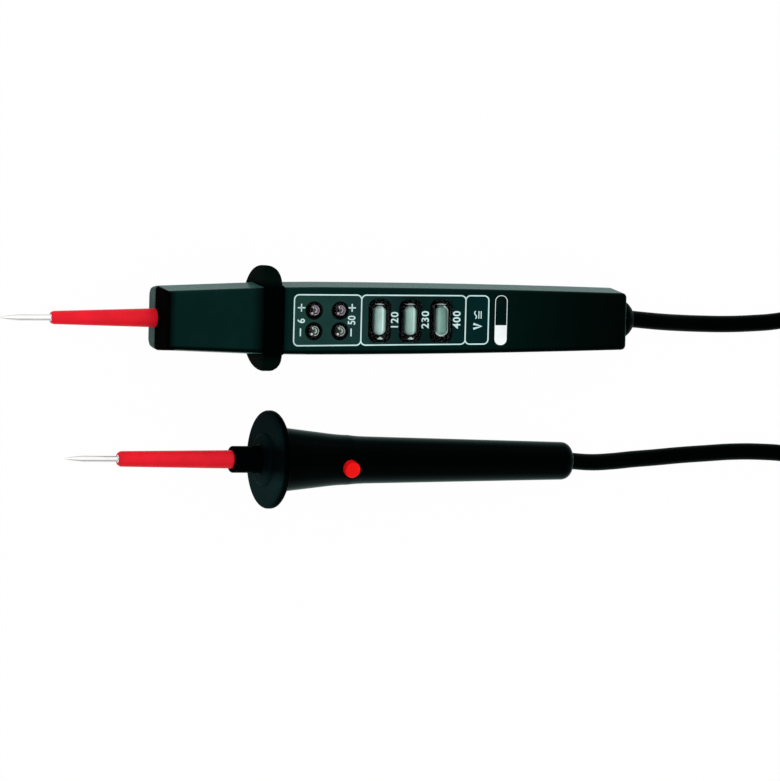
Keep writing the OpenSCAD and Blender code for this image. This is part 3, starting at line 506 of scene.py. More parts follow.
# The film's tone: lighter at the front, darker towards the rear
LABEL_SPAN = (-0.0125, 0.0615)
LABEL_TONES = screen_tones((0.0, 32, 62, 56), (0.14, 27, 56, 52), (0.36, 27, 53, 53),
                           (0.6, 10, 30, 29), (0.85, 6, 35, 34), (1.0, 4, 33, 34))
TEAL_TINT = (0.12, 0.5, 0.46)
DIM_TINT = (0.06, 0.1, 0.1)
INSERT_TINT = (0.5, 0.6, 0.6)
SHELL_SURFACE = (0.28, 0.16, 0.008, 1.08, TEAL_TINT, True)


def painted_light_finish(name, colour, ior=1.3):
    return moulded(name, colour, 0.4, 0.2, 0.004, ior)


finish = {
    "upper": ramped_plastic("upper_plastic", ALONG, SHELL_SPAN, UPPER_PAINTED_SHADE, *SHELL_SURFACE),
    "housing": ramped_plastic("housing_plastic", ALONG, SHELL_SPAN, LOWER_PAINTED_SHADE, *SHELL_SURFACE),
    "label": ramped_plastic("label_film", ALONG, LABEL_SPAN, LABEL_TONES, 0.34, 0.2, 0.006, 1.1, TEAL_TINT),
    # The nose's sheet of painted shade: near black, with almost no reflection
    "nose": moulded("nose_shade_sheet", (0.0012, 0.001, 0.001), 0.5, 0.2, 0.008, 1.01),
    "well": moulded("well_plastic", (0.0002, 0.0002, 0.0002), 0.5, 0.3, 0.004, 1.01),
    "guard": ramped_plastic("guard_plastic", ASIDE, GUARD_SPAN, GUARD_PAINTED_LIGHT, 0.36, 0.2, 0.008, 1.016, DIM_TINT),
    "disc": disc_material(),
    "handle": moulded("handle_plastic", (0.0001, 0.0002, 0.0002), 0.2, 0.5, 0.004, 1.07, DIM_TINT, 0.3),
    "red": moulded("red_plastic", (0.80, 0.0105, 0.024), 0.32, 0.5, 0.006, 1.15),
    "button": moulded("button_plastic", (0.90, 0.006, 0.006), 0.3, 0.4, 0.006, 1.12),
    "insert": moulded("insert_plastic", (0.0006, 0.0012, 0.0012), 0.35, 0.3, 0.006, 1.12, INSERT_TINT),
    "board": moulded("board_laminate", (0.010, 0.016, 0.010), 0.45, 0.25, 0.01, 1.2),
    "ceramic": moulded("ceramic", (0.42, 0.37, 0.28), 0.5, 0.15, 0.01),
    "rubber": moulded("grommet_rubber", (0.0002, 0.0004, 0.0003), 0.4, 0.25, 0.008, 1.06, DIM_TINT, 0.1),
    "cord": moulded("cord_jacket", (0.0001, 0.0002, 0.0002), 0.4, 0.3, 0.008, 1.08, DIM_TINT, 0.15),
    "tie": moulded("tie_nylon", (0.012, 0.013, 0.013), 0.42, 0.3, 0.006, 1.3),
    "ink": moulded("print_ink", (0.58, 0.80, 0.79), 0.5, 0.1, 0.002, 1.2),
    "plate": moulded("plate_ink", (0.88, 0.92, 0.92), 0.5, 0.1, 0.002, 1.2),
    "needle": metal("needle_steel", (0.93, 0.93, 0.92), 0.16, (3, 1, 1), 900, 0.001, (0.3, 0.3, 0.3)),
    "screw": metal("screw_steel", (0.6, 0.6, 0.61), 0.3, (1, 1, 1), 1500, 0.004),
    "brass": metal("contact_brass", (0.72, 0.5, 0.2), 0.28, (1, 6, 6), 500, 0.003),
    "glass": clear("lamp_glass", (0.97, 0.995, 0.99), 0.01, 1.12, 3.0, 0.003),
    "resin": clear("led_resin", (0.97, 0.95, 0.96), 0.02, 1.25, 2.5, 0.003),
    "lens": clear("lens_plastic", (0.97, 0.99, 0.985), 0.0, 1.05, 6.0, 0.0005, 1.12),
    # Pale and dark pieces inside the diodes and lamps, whose colours paint highlights, glints and shade
    "frame_pink": painted_light_finish("frame_painted_highlight_pink", srgb(205, 194, 206)),
    "frame_green": painted_light_finish("frame_painted_highlight_green", srgb(204, 222, 212)),
    "pit_pink": painted_light_finish("pit_painted_shade_pink", srgb(112, 104, 114), 1.2),
    "pit_green": painted_light_finish("pit_painted_shade_green", srgb(84, 108, 98), 1.2),
    "bead": painted_light_finish("bright_painted_glint", (0.95, 0.95, 0.93)),
    "bead_dim": painted_light_finish("dim_painted_glint", srgb(214, 206, 212)),
    "seal": painted_light_finish("seal_painted_highlight", srgb(208, 230, 225)),
}

finish_nodes = {
    "upper": ["upper_shell"], "housing": ["lower_shell"], "guard": ["hand_guard"],
    "disc": ["guard_cap"], "handle": ["handle_tube"], "red": ["main_sleeve", "handle_sleeve"],
    "button": ["push_button"], "needle": ["main_needle", "handle_needle"],
    "brass": ["probe_contact"], "board": ["circuit_board"],
    "lens": ["lens_strip"], "resin": ["led_%d" % i for i in range(1, 5)],
    "glass": ["glow_lamp_%d" % i for i in range(1, 4)],
    "ceramic": ["series_resistors", "load_resistor"],
    "insert": ["lamp_holder", "cord_clamp", "switch_carrier", "micro_switch"],
    "screw": ["housing_screws", "clamp_screws", "cord_ferrule", "switch_plunger"],
    "rubber": ["cord_grommet"], "cord": ["main_lead_end", "handle_lead_end"],
}
for kind, names in finish_nodes.items():
    for name in names:
        for place in nodes[name].material_slots:
            place.material = finish[kind]


# Cord: the routes of the construction, in mm, after each lead leaves its unit
CORD_D = 6.0
ROUTE_MAIN = [(131, 23.1, 6), (139, 22.6, 4.2), (147, 22.3, 3.2), (156, 22.2, 3),
              (165, 22.5, 3), (175, 23.3, 3), (185, 25.2, 3), (195, 28.3, 3), (204, 31.4, 3)]
ROUTE_HANDLE = [(106, -27.6, 5.3), (114, -27.3, 4.3), (122, -26.6, 3.4), (130, -26, 3),
                (140, -25.1, 3), (150, -24.4, 3), (160, -23.8, 3), (170, -23.8, 3),
                (180, -24.5, 3), (190, -26.6, 3.4), (198, -29.1, 5.2), (204, -31.2, 7)]
COIL_CENTRE = (225, 0)
COIL_OUTER_R, COIL_INNER_R = 36.0, 30.0
COIL_LOW_Z, COIL_HIGH_Z = 3.5, 9.5
COIL_TURNS = 3.5
COIL_STEP = 18
# Swept angles between which the turns change radius or height, in degrees
GO_IN, GO_UP, GO_OUT = (280, 340), (600, 665), (940, 1005)


def eased(value, span):
    t = min(max((value - span[0]) / (span[1] - span[0]), 0), 1)
    return t * t * (3 - 2 * t)


def coil_points():
    points = []
    for swept in range(0, int(COIL_TURNS * 360) + 1, COIL_STEP):
        angle = radians(90 - swept)
        inward = eased(swept, GO_IN) - eased(swept, GO_OUT)
        r = COIL_OUTER_R + (COIL_INNER_R - COIL_OUTER_R) * inward
        z = COIL_LOW_Z + (COIL_HIGH_Z - COIL_LOW_Z) * eased(swept, GO_UP)
        points.append((COIL_CENTRE[0] + r * cos(angle),
                       COIL_CENTRE[1] + r * sin(angle), z))
    return points


TIE_ANGLE = radians(45)
TIE_T, TIE_W, TIE_FIT = 0.45, 4.0, 0.02
# The tie's head: length and width, and how far it is drawn in at heights over the band
TIE_HEAD, TIE_HEAD_R = (5.6, 4.8), 0.7
TIE_HEAD_LEVELS = ((0.0, 0.2), (0.2, 0.0), (2.5, 0.0), (3.0, 0.4))
# The tie's free end: how deep it starts in the head, at what height, and how much it rises
TAIL_IN, TAIL_H, TAIL_RISE = 0.6, 1.3, 0.9
TAIL_LEN, TAIL_HALF_W, TAIL_T = 4.4, 1.6, 0.9


def add_tie():
    """Cable tie round the four strands of the coil, with its head on top."""
    outward = Vector((cos(TIE_ANGLE), sin(TIE_ANGLE), 0))
    along = Vector((-outward.y, outward.x, 0))
    up = Vector((0, 0, 1))
    strand = CORD_D / 2
    r0, r1 = COIL_INNER_R - strand - TIE_FIT, COIL_OUTER_R + strand + TIE_FIT
    z0, z1 = COIL_LOW_Z - strand - TIE_FIT, COIL_HIGH_Z + strand + TIE_FIT
    inside = rounded_box(r0, r1, z0, z1, strand)
    outside = rounded_box(r0 - TIE_T, r1 + TIE_T, z0 - TIE_T, z1 + TIE_T, strand + TIE_T)

    def at(point, aside):
        return outward * point[0] + up * point[1] + along * aside

    bm = bmesh.new()
    skin(bm, [[at(p, -TIE_W / 2), at(q, -TIE_W / 2), at(q, TIE_W / 2), at(p, TIE_W / 2)]
              for p, q in zip(inside, outside)], loop=True)
    middle, base = (r0 + r1) / 2, z1 + TIE_T / 2
    head = []
    for rise, inset in TIE_HEAD_LEVELS:
        a, b = (size / 2 - inset for size in TIE_HEAD)
        head.append([at((middle + p, base + rise), q)
                     for p, q in rounded_box(-a, a, -b, b, TIE_HEAD_R)])
    skin(bm, head)
    start = middle + TIE_HEAD[0] / 2 - TAIL_IN
    tail = [at((start + TAIL_LEN * s, base + TAIL_H + TAIL_RISE * s ** 2), 0)
            for s in (0, 0.25, 0.5, 0.75, 1)]
    aside, lift = along * TAIL_HALF_W, up * TAIL_T
    skin(bm, [[p - aside, p + aside, p + aside + lift, p - aside + lift] for p in tail])
    place = Matrix.Translation(Vector((*COIL_CENTRE, 0)) * MM) @ Matrix.Scale(MM, 4)
    return add_solid("cord_tie", bm, finish["tie"], "insert_plastic", place)


def add_cord():
    exit_main = main_place @ Vector((own_box("cord_grommet", main_place)[1].x, 0, 0))
    exit_handle = handle_place @ Vector((own_box("handle_tube", handle_place)[1].x, 0, 0))
    route = ROUTE_MAIN + coil_points() + ROUTE_HANDLE[::-1]
    points = [exit_main] + [Vector(p) * MM for p in route] + [exit_handle]
    data = bpy.data.curves.new("cord", "CURVE")
    data.dimensions = "3D"
    data.resolution_u = 8
    data.bevel_depth = CORD_D / 2 * MM
    data.bevel_resolution = 7
    spline = data.splines.new("BEZIER")
    spline.bezier_points.add(len(points) - 1)
    for knot, point in zip(spline.bezier_points, points):
        knot.co = point
        knot.handle_left_type = knot.handle_right_type = "AUTO"
    cord = add_object("cord", data, finish["cord"], "cord_jacket")
    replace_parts(cord, "cord_lead_main", "cord_lead_handle", "cord_coil")
    add_tie()


add_cord()


# Print on the panel: three frames with a film inside each, numbers, signs and a bare plate
PANEL_U = (47.7, 73.0, 112.3, 120.95)
PANEL_HALF = (9.38, 8.85)
PANEL_RISE = (0.2, 0.5)
LINE_W = 0.47
PANEL_R = 2.0
FILM_T, INK_T = 0.02, 0.03
# Each frame is this much thicker than the one before, so that no two faces coincide
FRAME_STEP = 0.002
INK_H = FACE_H + FILM_T
INK = (finish["ink"], "print_ink")
DIODE_OPENING_R = 3.3
# Lamp openings in the film: places along the unit, half length, lowest and highest y, corner radius
CAP_U = (80.0, 91.6, 103.2)
OPENING_HALF, OPENING_Y, OPENING_R = 4.4, (-7.95, 8.2), 3.4


def narrowed(loop):
    """Draws a loop in towards the rear, as the housing tapers, and moves it off the middle line."""
    shares = [(u - PANEL_U[0]) / (PANEL_U[-1] - PANEL_U[0]) for u, y in loop]
    taper = PANEL_HALF[1] / PANEL_HALF[0] - 1
    return [(u, y * (1 + taper * s) + PANEL_RISE[0] + (PANEL_RISE[1] - PANEL_RISE[0]) * s)
            for s, (u, y) in zip(shares, loop)]


def add_frames():
    half = PANEL_HALF[0]
    holes = [circle(*own_centre("led_%d" % i)[:2], DIODE_OPENING_R) for i in range(1, 5)]
    lamps = [rounded_box(u - OPENING_HALF, u + OPENING_HALF, *OPENING_Y, OPENING_R)
             for u in CAP_U]
    for i, (left, right, openings) in enumerate(zip(PANEL_U, PANEL_U[1:], (holes, lamps, []))):
        outer = narrowed(rounded_box(left - LINE_W / 2, right + LINE_W / 2, -half, half, PANEL_R))
        inner = narrowed(rounded_box(left + LINE_W / 2, right - LINE_W / 2,
                                     -half + LINE_W, half - LINE_W, PANEL_R - LINE_W))
        flat_piece("panel_frame_%d" % (i + 1), [outer, inner], FACE_H, INK_T + FRAME_STEP * i, *INK)
        flat_piece("panel_film_%d" % (i + 1), [inner] + openings, FACE_H, FILM_T,
                   finish["label"], "housing_plastic")


# Height of the characters, their share of the font's size, and how much bolder they print
LETTER_H, CAP_SHARE, BOLDER = 2.85, 0.73, 0.07


def add_text(name, words, u, y, squeeze, spacing):
    """Printed characters that read from the unit's right side, centred on (u, y)."""
    data = bpy.data.curves.new(name, "FONT")
    data.body = words
    data.align_x = "CENTER"
    data.align_y = "CENTER"
    data.size = LETTER_H / CAP_SHARE
    data.extrude = INK_T / 2
    data.offset = BOLDER
    data.space_character = spacing
    turn = Matrix(((0, -1, 0, u), (squeeze, 0, 0, y),
                   (0, 0, 1, INK_H + INK_T / 2), (0, 0, 0, 1)))
    mesh = flat_mesh(name, data, turn)
    low, high = box_of([v.co for v in mesh.vertices])
    middle = (low + high) / 2
    mesh.transform(Matrix.Translation((u - middle.x, y - middle.y, 0)))
    mesh.transform(main_place)
    return add_object(name, mesh, *INK)


STROKE = 0.46


def add_bars(name, bars):
    """Straight strokes of the print, each (u, y, length along u, length along y)."""
    bm = bmesh.new()
    for u, y, size_u, size_y in bars:
        bmesh.ops.create_cube(bm, size=1, matrix=Matrix.Translation((u, y, INK_H + INK_T / 2))
                              @ Matrix.Diagonal((size_u, size_y, INK_T, 1)))
    return add_solid(name, bm, *INK)


def stroke_loop(points, width):
    """Outline of a bent stroke of even width through points."""
    left, right = [], []
    for i, (u, y) in enumerate(points):
        before = points[max(i - 1, 0)]
        after = points[min(i + 1, len(points) - 1)]
        along = Vector((after[0] - before[0], after[1] - before[1])).normalized() * width / 2
        left.append((u - along.y, y + along.x))
        right.append((u + along.y, y - along.x))
    return left + right[::-1]


# Characters with their place, width and spacing, and where the signs of each diode pair stand
MARKS = (("mark_6", "6", 50.35, 0.0, 0.9, 1.0), ("mark_50", "50", 69.35, 0.3, 0.86, 1.0),
         ("mark_120", "120", 85.5, 0.5, 1.0, 1.12), ("mark_230", "230", 97.05, 0.5, 1.0, 1.12),
         ("mark_400", "400", 108.95, 0.5, 1.0, 1.12))
SIGNS = (("signs_6", 50.4), ("signs_50", 69.45))
SIGN_LEN, PLUS_Y, MINUS_Y, MINUS_SHIFT = 2.8, 4.7, -4.1, 0.2
VOLT_U, VOLT_Y, VOLT_HALF_W, VOLT_STROKE = (115.3, 118.35), -1.8, 0.88, 0.78
WAVE_U, WAVE_Y, WAVE_LEN, WAVE_RISE, WAVE_STROKE, WAVE_STEPS = 116.05, 2.3, 2.7, 0.36, 0.4, 16
DIRECT_U, DIRECT_STROKE = (117.3, 118.15), 0.36


def add_print():
    for mark in MARKS:
        add_text(*mark)
    for name, u in SIGNS:
        add_bars(name + "_plus", [(u, PLUS_Y, SIGN_LEN, STROKE), (u, PLUS_Y, STROKE, SIGN_LEN)])
        add_bars(name + "_minus", [(u - MINUS_SHIFT, MINUS_Y, STROKE, SIGN_LEN)])
    wing, apex = VOLT_U
    volt = [(wing, VOLT_Y + VOLT_HALF_W), (apex, VOLT_Y), (wing, VOLT_Y - VOLT_HALF_W)]
    wave = [(WAVE_U + WAVE_RISE * sin(2 * pi * i / WAVE_STEPS),
             WAVE_Y + WAVE_LEN * (i / WAVE_STEPS - 0.5)) for i in range(WAVE_STEPS + 1)]
    for name, points, width in (("mark_volt", volt, VOLT_STROKE), ("mark_wave", wave, WAVE_STROKE)):
        flat_piece(name, [stroke_loop(points, width)], INK_H, INK_T, *INK)
    add_bars("mark_direct", [(u, WAVE_Y, DIRECT_STROKE, WAVE_LEN) for u in DIRECT_U])


PLATE_U = (123.4, 128.0)
PLATE_HALF, PLATE_Y = 8.9, 0.4
PLATE_SPLIT_Y = -1.4
PLATE_LINE_W, PLATE_R = 0.2, 2.1


def add_plate():
    """Plate with its lower end filled and its upper end as an outline, and nothing printed on it."""
    top, line, r, steps = PLATE_Y + PLATE_HALF, PLATE_LINE_W, PLATE_R, 7
    outer = rounded_box(*PLATE_U, PLATE_Y - PLATE_HALF, top, r, steps)
    u0, u1 = PLATE_U[0] + line, PLATE_U[1] - line
    arch = rounded_box(u0, u1, PLATE_SPLIT_Y, top - line, r - line, steps)[:2 * steps + 2]
    inner = arch + [(u0, PLATE_SPLIT_Y), (u1, PLATE_SPLIT_Y)]
    flat_piece("bare_plate", [outer, inner], FACE_H, INK_T, finish["plate"], "print_ink")


add_frames()
add_print()
add_plate()


# Hand guard: a finer skin of the construction's own form, and its low collar on the housing
GUARD_U, GUARD_LEN, GUARD_RIM = 36.3, 7.0, 2.6
GUARD_HALF_W, GUARD_SIDE = 18.9, 0.8
GUARD_TOP_H, GUARD_WIDE_H, GUARD_DROP = 17.3, 12.4, 11.6
GUARD_FIT, COLLAR_T = 0.12, 0.34
COLLAR_FROM, COLLAR_END = 42.2, 44.1
# The collar's section as places along the unit and gaps to the housing
COLLAR_RINGS = ((COLLAR_FROM, GUARD_FIT), (COLLAR_FROM, COLLAR_T), (COLLAR_END - 0.3, COLLAR_T),
                (COLLAR_END, COLLAR_T - 0.15), (COLLAR_END, GUARD_FIT))
NOSE_W, MID_W, REAR_W = 23.0, 26.2, 22.3
WIDEST_U, HOUSING_LEN = 44.7, 173.7
LOWER_H, BELLY_W, BELLY_H, SIDE_LEAN = 8.0, 3.0, 5.0, 0.08
SIDE_DRAFT, TOP_EDGE_R = 1.1, 1.2
END_DRAFT = SIDE_DRAFT / 3
FULLNESS = 2.3
# The rim is shorter on the left side's ear and longer on the right, where the guard reaches further
EAR_SHORTER, RIM_LONGER, REACH_LONGER = 1.5, 0.5, 0.7
# Rings are drawn round a pole at this height
ROUND_STEPS = 180
POLE_H = 3.0
# The guard's front edge, as places behind its front face and how far they are drawn in
FRONT_EDGE = ((0, 0.5), (0.04, 0.3), (0.15, 0.13), (0.32, 0.03), (0.55, 0))
SWELL_STEPS, SWELL_ANGLE = 12, radians(84)


def half_width(u):
    if u < WIDEST_U:
        return (NOSE_W + (MID_W - NOSE_W) * u / WIDEST_U) / 2
    share = (u - WIDEST_U) / (HOUSING_LEN - WIDEST_U)
    return (MID_W - (MID_W - REAR_W) * share * share) / 2


def housing_section(u, gap, steps=10):
    """Closed cross-section of the housing as (y, h) points, grown by a gap."""
    w = half_width(u) + gap
    half = []
    for i in range(steps + 1):
        t = 1 - i / steps
        depth = LOWER_H - BELLY_H * (1 - t)
        lean = SIDE_LEAN * depth + BELLY_W * (1 - sqrt(1 - t * t))
        half.append((w - lean, -depth - gap * t))
    for i in range(steps + 1):
        a = pi / 2 * i / steps
        h = FACE_H - TOP_EDGE_R * (1 - sin(a))
        half.append((w - SIDE_DRAFT * h / FACE_H - TOP_EDGE_R * (1 - cos(a)), h + gap))
    return half + [(-y, h) for y, h in half[::-1]]


def full(value):
    return copysign(abs(value) ** (2 / FULLNESS), value)


def guard_section(share, edge, steps=120):
    """Closed outline of the guard, drawn in from its widest towards the housing by a share."""
    w = GUARD_HALF_W + (MID_W / 2 - GUARD_HALF_W) * share - edge
    rise = GUARD_TOP_H + (FACE_H - GUARD_TOP_H) * share - GUARD_WIDE_H - edge
    drop = GUARD_DROP + (LOWER_H - GUARD_DROP) * share + GUARD_WIDE_H - edge
    points = []
    for a in turns(steps):
        h = rise * sin(a) if sin(a) > 0 else drop * full(sin(a))
        points.append((w * full(cos(a)) + GUARD_SIDE * (1 - share), GUARD_WIDE_H + h))
    return points


def polar_radii(section):
    """How far a closed outline reaches from the pole in each of the round steps."""
    radii = []
    for a in turns(ROUND_STEPS):
        way = Vector((cos(a), sin(a)))
        reach = 0.0
        for p, q in zip(section, section[1:] + section[:1]):
            p = Vector((p[0], p[1] - POLE_H))
            side = Vector((q[0], q[1] - POLE_H)) - p
            cross = way.cross(side)
            if abs(cross) < 1e-9:
                continue
            along_side = p.cross(way) / cross
            if -1e-6 <= along_side <= 1 + 1e-6:
                reach = max(reach, p.cross(side) / cross)
        radii.append(reach)
    return radii


def polar_ring(section, u_of):
    """Ring of points round the pole; u_of gives the place along the unit by the angle's cosine."""
    return [Vector((u_of(cos(a)), r * cos(a), POLE_H + r * sin(a)))
            for a, r in zip(turns(ROUND_STEPS), polar_radii(section))]


def guard_rim(k):
    return GUARD_RIM - EAR_SHORTER * max(0, k) ** 2 + RIM_LONGER * max(0, -k) ** 2


def guard_reach(k):
    return GUARD_LEN + REACH_LONGER * max(0, -k) ** 2


def add_guard():
    rings = [polar_ring(housing_section(GUARD_U, GUARD_FIT), lambda k: GUARD_U)]
    for ahead, edge in FRONT_EDGE:
        rings.append(polar_ring(guard_section(0, edge), lambda k: GUARD_U + ahead))
    for i in range(SWELL_STEPS + 1):
        a = SWELL_ANGLE * i / SWELL_STEPS
        rings.append(polar_ring(
            guard_section(1 - cos(a), 0),
            lambda k: GUARD_U + guard_rim(k) + (guard_reach(k) - guard_rim(k)) * sin(a)))
    rings.append(polar_ring(
        housing_section(GUARD_U + GUARD_LEN, GUARD_FIT),
        lambda k: GUARD_U + guard_rim(k) + (guard_reach(k) - guard_rim(k)) * sin(SWELL_ANGLE)))
    bm = bmesh.new()
    skin(bm, rings, loop=True)
    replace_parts(add_solid("guard_skin", bm, finish["guard"], "guard_plastic"), "hand_guard")
    # The collar takes the guard's finish, whose near-black there paints the soft shadow just behind the
    # guard
    bm = bmesh.new()
    skin(bm, [polar_ring(housing_section(u, gap), lambda k, u=u: u) for u, gap in COLLAR_RINGS],
         loop=True)
    add_solid("guard_collar", bm, finish["guard"], "guard_plastic")


add_guard()


# Second handle's guard disc: the construction's own profile in finer steps, a little smaller
DISC_R, DISC_T, DISC_EDGE_R = 17.6, 3.9, 1.6
HUB_R, HUB_T, HUB_EDGE_R = 9.5, 1.6, 1.2
BOSS_R, BOSS_LEN, BOSS_EDGE_R, BOSS_FILLET_R = 4.8, 12.7, 0.6, 1.4
SLEEVE_R, SHANK_R, SPIGOT_R = 3.35, 1.45, 9.6
SLEEVE_END = -0.05
DISC_SEGMENTS = 128


def quarter(x, r, radius_x, radius_r, start, steps=9):
    """Points of a quarter turn round (x, r), from an angle in degrees."""
    return [(x + radius_x * cos(a), r + radius_r * sin(a))
            for a in (radians(start - 90 * i / steps) for i in range(steps + 1))]


def add_disc():
    spigot_end = own_box("guard_cap", handle_place)[1].x
    rim_r = DISC_R - DISC_EDGE_R
    section = ([(-BOSS_LEN, SLEEVE_R)]
               + quarter(-BOSS_LEN + BOSS_EDGE_R, BOSS_R - BOSS_EDGE_R, BOSS_EDGE_R, BOSS_EDGE_R, 180)
               + quarter(-HUB_T - BOSS_FILLET_R, BOSS_R + BOSS_FILLET_R,
                         BOSS_FILLET_R, BOSS_FILLET_R, 0)[::-1]
               + quarter(0, HUB_R - HUB_EDGE_R, HUB_T, HUB_EDGE_R, 180)
               + quarter(DISC_EDGE_R, rim_r, DISC_EDGE_R, DISC_EDGE_R, 180)
               + quarter(DISC_T - DISC_EDGE_R, rim_r, DISC_EDGE_R, DISC_EDGE_R, 90)
               + [(DISC_T, SPIGOT_R), (spigot_end, SPIGOT_R), (spigot_end, SHANK_R),
                  (SLEEVE_END, SHANK_R), (SLEEVE_END, SLEEVE_R)])
    disc = turned("guard_disc", section, (0, 0, 0), Matrix(), finish["disc"], "handle_plastic",
                  DISC_SEGMENTS, True, handle_place)
    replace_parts(disc, "guard_cap")


add_disc()


# Painted shade: a dark sheet over the upper shell's front wall
NOSE_CORNER_R, LEAST_CORNER_R = 1.5, 0.3
SHEET_OUT, SHEET_IN = 0.04, -0.03
# How far round each corner the dark sheet goes, in how many steps, and along the right wall behind it
LEFT_TURN, RIGHT_TURN, RIGHT_RUN = (62, 7), (90, 9), (1.2, 2.6)
SHEET_LEVELS = (0.35, 4, 8, 12, FACE_H - TOP_EDGE_R)


def shade_sheet_path(side, end_in, side_in, out):
    """Half of the dark sheet's run round the nose, where the walls stand in by end_in and side_in."""
    corner_r = max(NOSE_CORNER_R - side_in, LEAST_CORNER_R)
    centre_u = end_in + corner_r
    wall = half_width(centre_u) - side_in
    r = corner_r + out
    most, corner_steps = LEFT_TURN if side > 0 else RIGHT_TURN
    path = [(centre_u - r * cos(a), side * (wall - corner_r + r * sin(a)))
            for a in (radians(most * i / corner_steps) for i in range(corner_steps + 1))]
    if side < 0:
        path += [(centre_u + run, side_in - out - half_width(centre_u + run))
                 for run in RIGHT_RUN]
    return path


def nose_rings():
    """Loops round a thin skin that follows the front wall and its rounded top edge."""
    rings = []
    for h, inset in [(h, 0) for h in SHEET_LEVELS] + rounded_edge(FACE_H, TOP_EDGE_R)[1:-1]:
        end_in = END_DRAFT * h / FACE_H + inset
        side_in = SIDE_DRAFT * h / FACE_H + inset
        loop = []
        for out, sides in ((SHEET_OUT, (-1, 1)), (SHEET_IN, (1, -1))):
            for side in sides:
                path = shade_sheet_path(side, end_in, side_in, out)
                if (side < 0) == (out > 0):
                    path.reverse()
                loop += [Vector((u, y, h)) for u, y in path]
        rings.append(loop)
    return rings


def add_nose_shade_sheet():
    bm = bmesh.new()
    skin(bm, nose_rings())
    add_solid("nose_shade_sheet", bm, finish["nose"], "housing_plastic")


add_nose_shade_sheet()


# Inside the diodes and the glow lamps
UPRIGHT = Matrix(((0, 1, 0, 0), (0, 0, 1, 0), (1, 0, 0, 0), (0, 0, 0, 1)))
ALONG_Y = Matrix(((0, 0, 1, 0), (1, 0, 0, 0), (0, 1, 0, 0), (0, 0, 0, 1)))


def arc_band(bm, centre, radii, heights, half_angle, steps=24):
    """Band that bends round a centre on the side away from the tips."""
    (r0, r1), (h0, h1) = radii, heights
    rings = []
    for i in range(steps + 1):
        a = radians(half_angle * (2 * i / steps - 1))
        way = Vector((cos(a), sin(a), 0))
        rings.append([Vector((*centre, h)) + way * r
                      for r, h in ((r0, h0), (r1, h0), (r1, h1), (r0, h1))])
    skin(bm, rings)


# Least radius of a solid of revolution, in place of none
AXIS_R = 0.01
# Profiles of (height, radius) for a diode's seat, floor, pit, post and white bead; the black seat and
# floor paint the shade in the hole, the bead paints a glint
SEAT_PROFILE = [(11.6, 2.56), (11.6, 3.12), (13.95, 3.12), (14.0, 3.3), (14.05, 3.3), (14.1, 3.1),
                (14.1, 2.75), (13.6, 2.56)]
SHADE_FLOOR_PROFILE = [(11.0, AXIS_R), (11.0, 2.4), (11.12, 2.4), (11.12, AXIS_R)]
PIT_PROFILE = [(11.3, AXIS_R), (11.3, 1.4), (11.5, 1.44), (11.5, AXIS_R)]
POST_PROFILE = [(11.1, AXIS_R), (11.1, 0.6), (13.0, 0.85), (13.1, 0.6), (13.15, AXIS_R)]
GLINT_PROFILE = [(12.9, AXIS_R), (12.9, 0.26), (13.0, 0.38), (13.2, 0.38), (13.35, 0.24),
               (13.4, AXIS_R)]
# The lead frame's bands as radii, heights and half angle, its streak, and where the parts stand. The
# bands follow a real cup; their pale colour and the streak paint its highlight.
FRAME_BANDS = (((1.2, 1.45), (11.4, 12.9), 96), ((0.5, 0.82), (11.4, 12.6), 80))
STREAK_BOX, STREAK_H = (-0.2, 0.3, 0.25, 1.25, 0.2, 3), (11.4, 12.7)
CUP_U, POST_AT, GLINT_AT = 0.5, (-0.8, 0.1), (-0.4, -0.95)


def add_diode_inside(i):
    """Black seat and floor painting the hole's shade; a pale cup and streak painting a highlight, a
    darker pit, a black post and a white glint bead.
    """
    u, y, _ = own_centre("led_%d" % i)
    kind = "pink" if i % 2 else "green"
    cup = (u + CUP_U, y)
    black = (finish["insert"], "insert_plastic")
    turned("diode_seat_%d" % i, SEAT_PROFILE, (u, y, 0), UPRIGHT, *black, loop=True)
    turned("diode_shade_floor_%d" % i, SHADE_FLOOR_PROFILE, (u, y, 0), UPRIGHT, *black)
    turned("diode_pit_%d" % i, PIT_PROFILE, (*cup, 0), UPRIGHT, finish["pit_" + kind], "screw_steel")
    bm = bmesh.new()
    for band in FRAME_BANDS:
        arc_band(bm, cup, *band)
    streak = rounded_box(*STREAK_BOX)
    skin(bm, [[Vector((u + a, y + b, h)) for a, b in streak] for h in STREAK_H])
    add_solid("diode_frame_%d" % i, bm, finish["frame_" + kind], "screw_steel")
    turned("diode_post_%d" % i, POST_PROFILE, (u + POST_AT[0], y + POST_AT[1], 0), UPRIGHT, *black)
    turned("diode_glint_%d" % i, GLINT_PROFILE, (u + GLINT_AT[0], y + GLINT_AT[1], 0), UPRIGHT,
              finish["bead_dim" if i % 2 else "bead"], "ceramic", 24)


# Tones of each lamp's coating across it: its own pale colour with painted highlight stripes and darker
# edges of painted shade, lifted by a gain up to a limit as painted light in place of what the recess and
# lens hold back
LAMP_TONES_AND_HIGHLIGHTS = [screen_tones(*stops) for stops in (
    ((0.0, 70, 100, 94), (0.08, 140, 168, 162), (0.45, 160, 186, 180),
     (0.55, 164, 190, 184), (0.6, 206, 236, 230), (0.72, 204, 234, 228),
     (0.76, 150, 178, 171), (0.95, 140, 168, 160), (1.0, 80, 110, 102)),
    ((0.0, 64, 96, 90), (0.08, 130, 160, 152), (0.45, 150, 178, 170),
     (0.6, 152, 180, 172), (0.64, 190, 220, 212), (0.73, 188, 218, 210),
     (0.77, 140, 170, 162), (0.95, 136, 166, 157), (1.0, 78, 110, 102)),
    ((0.0, 64, 96, 88), (0.14, 134, 164, 156), (0.24, 140, 170, 162),
     (0.4, 112, 146, 138), (0.7, 98, 132, 122), (0.95, 92, 124, 114),
     (1.0, 70, 100, 92)),
)]
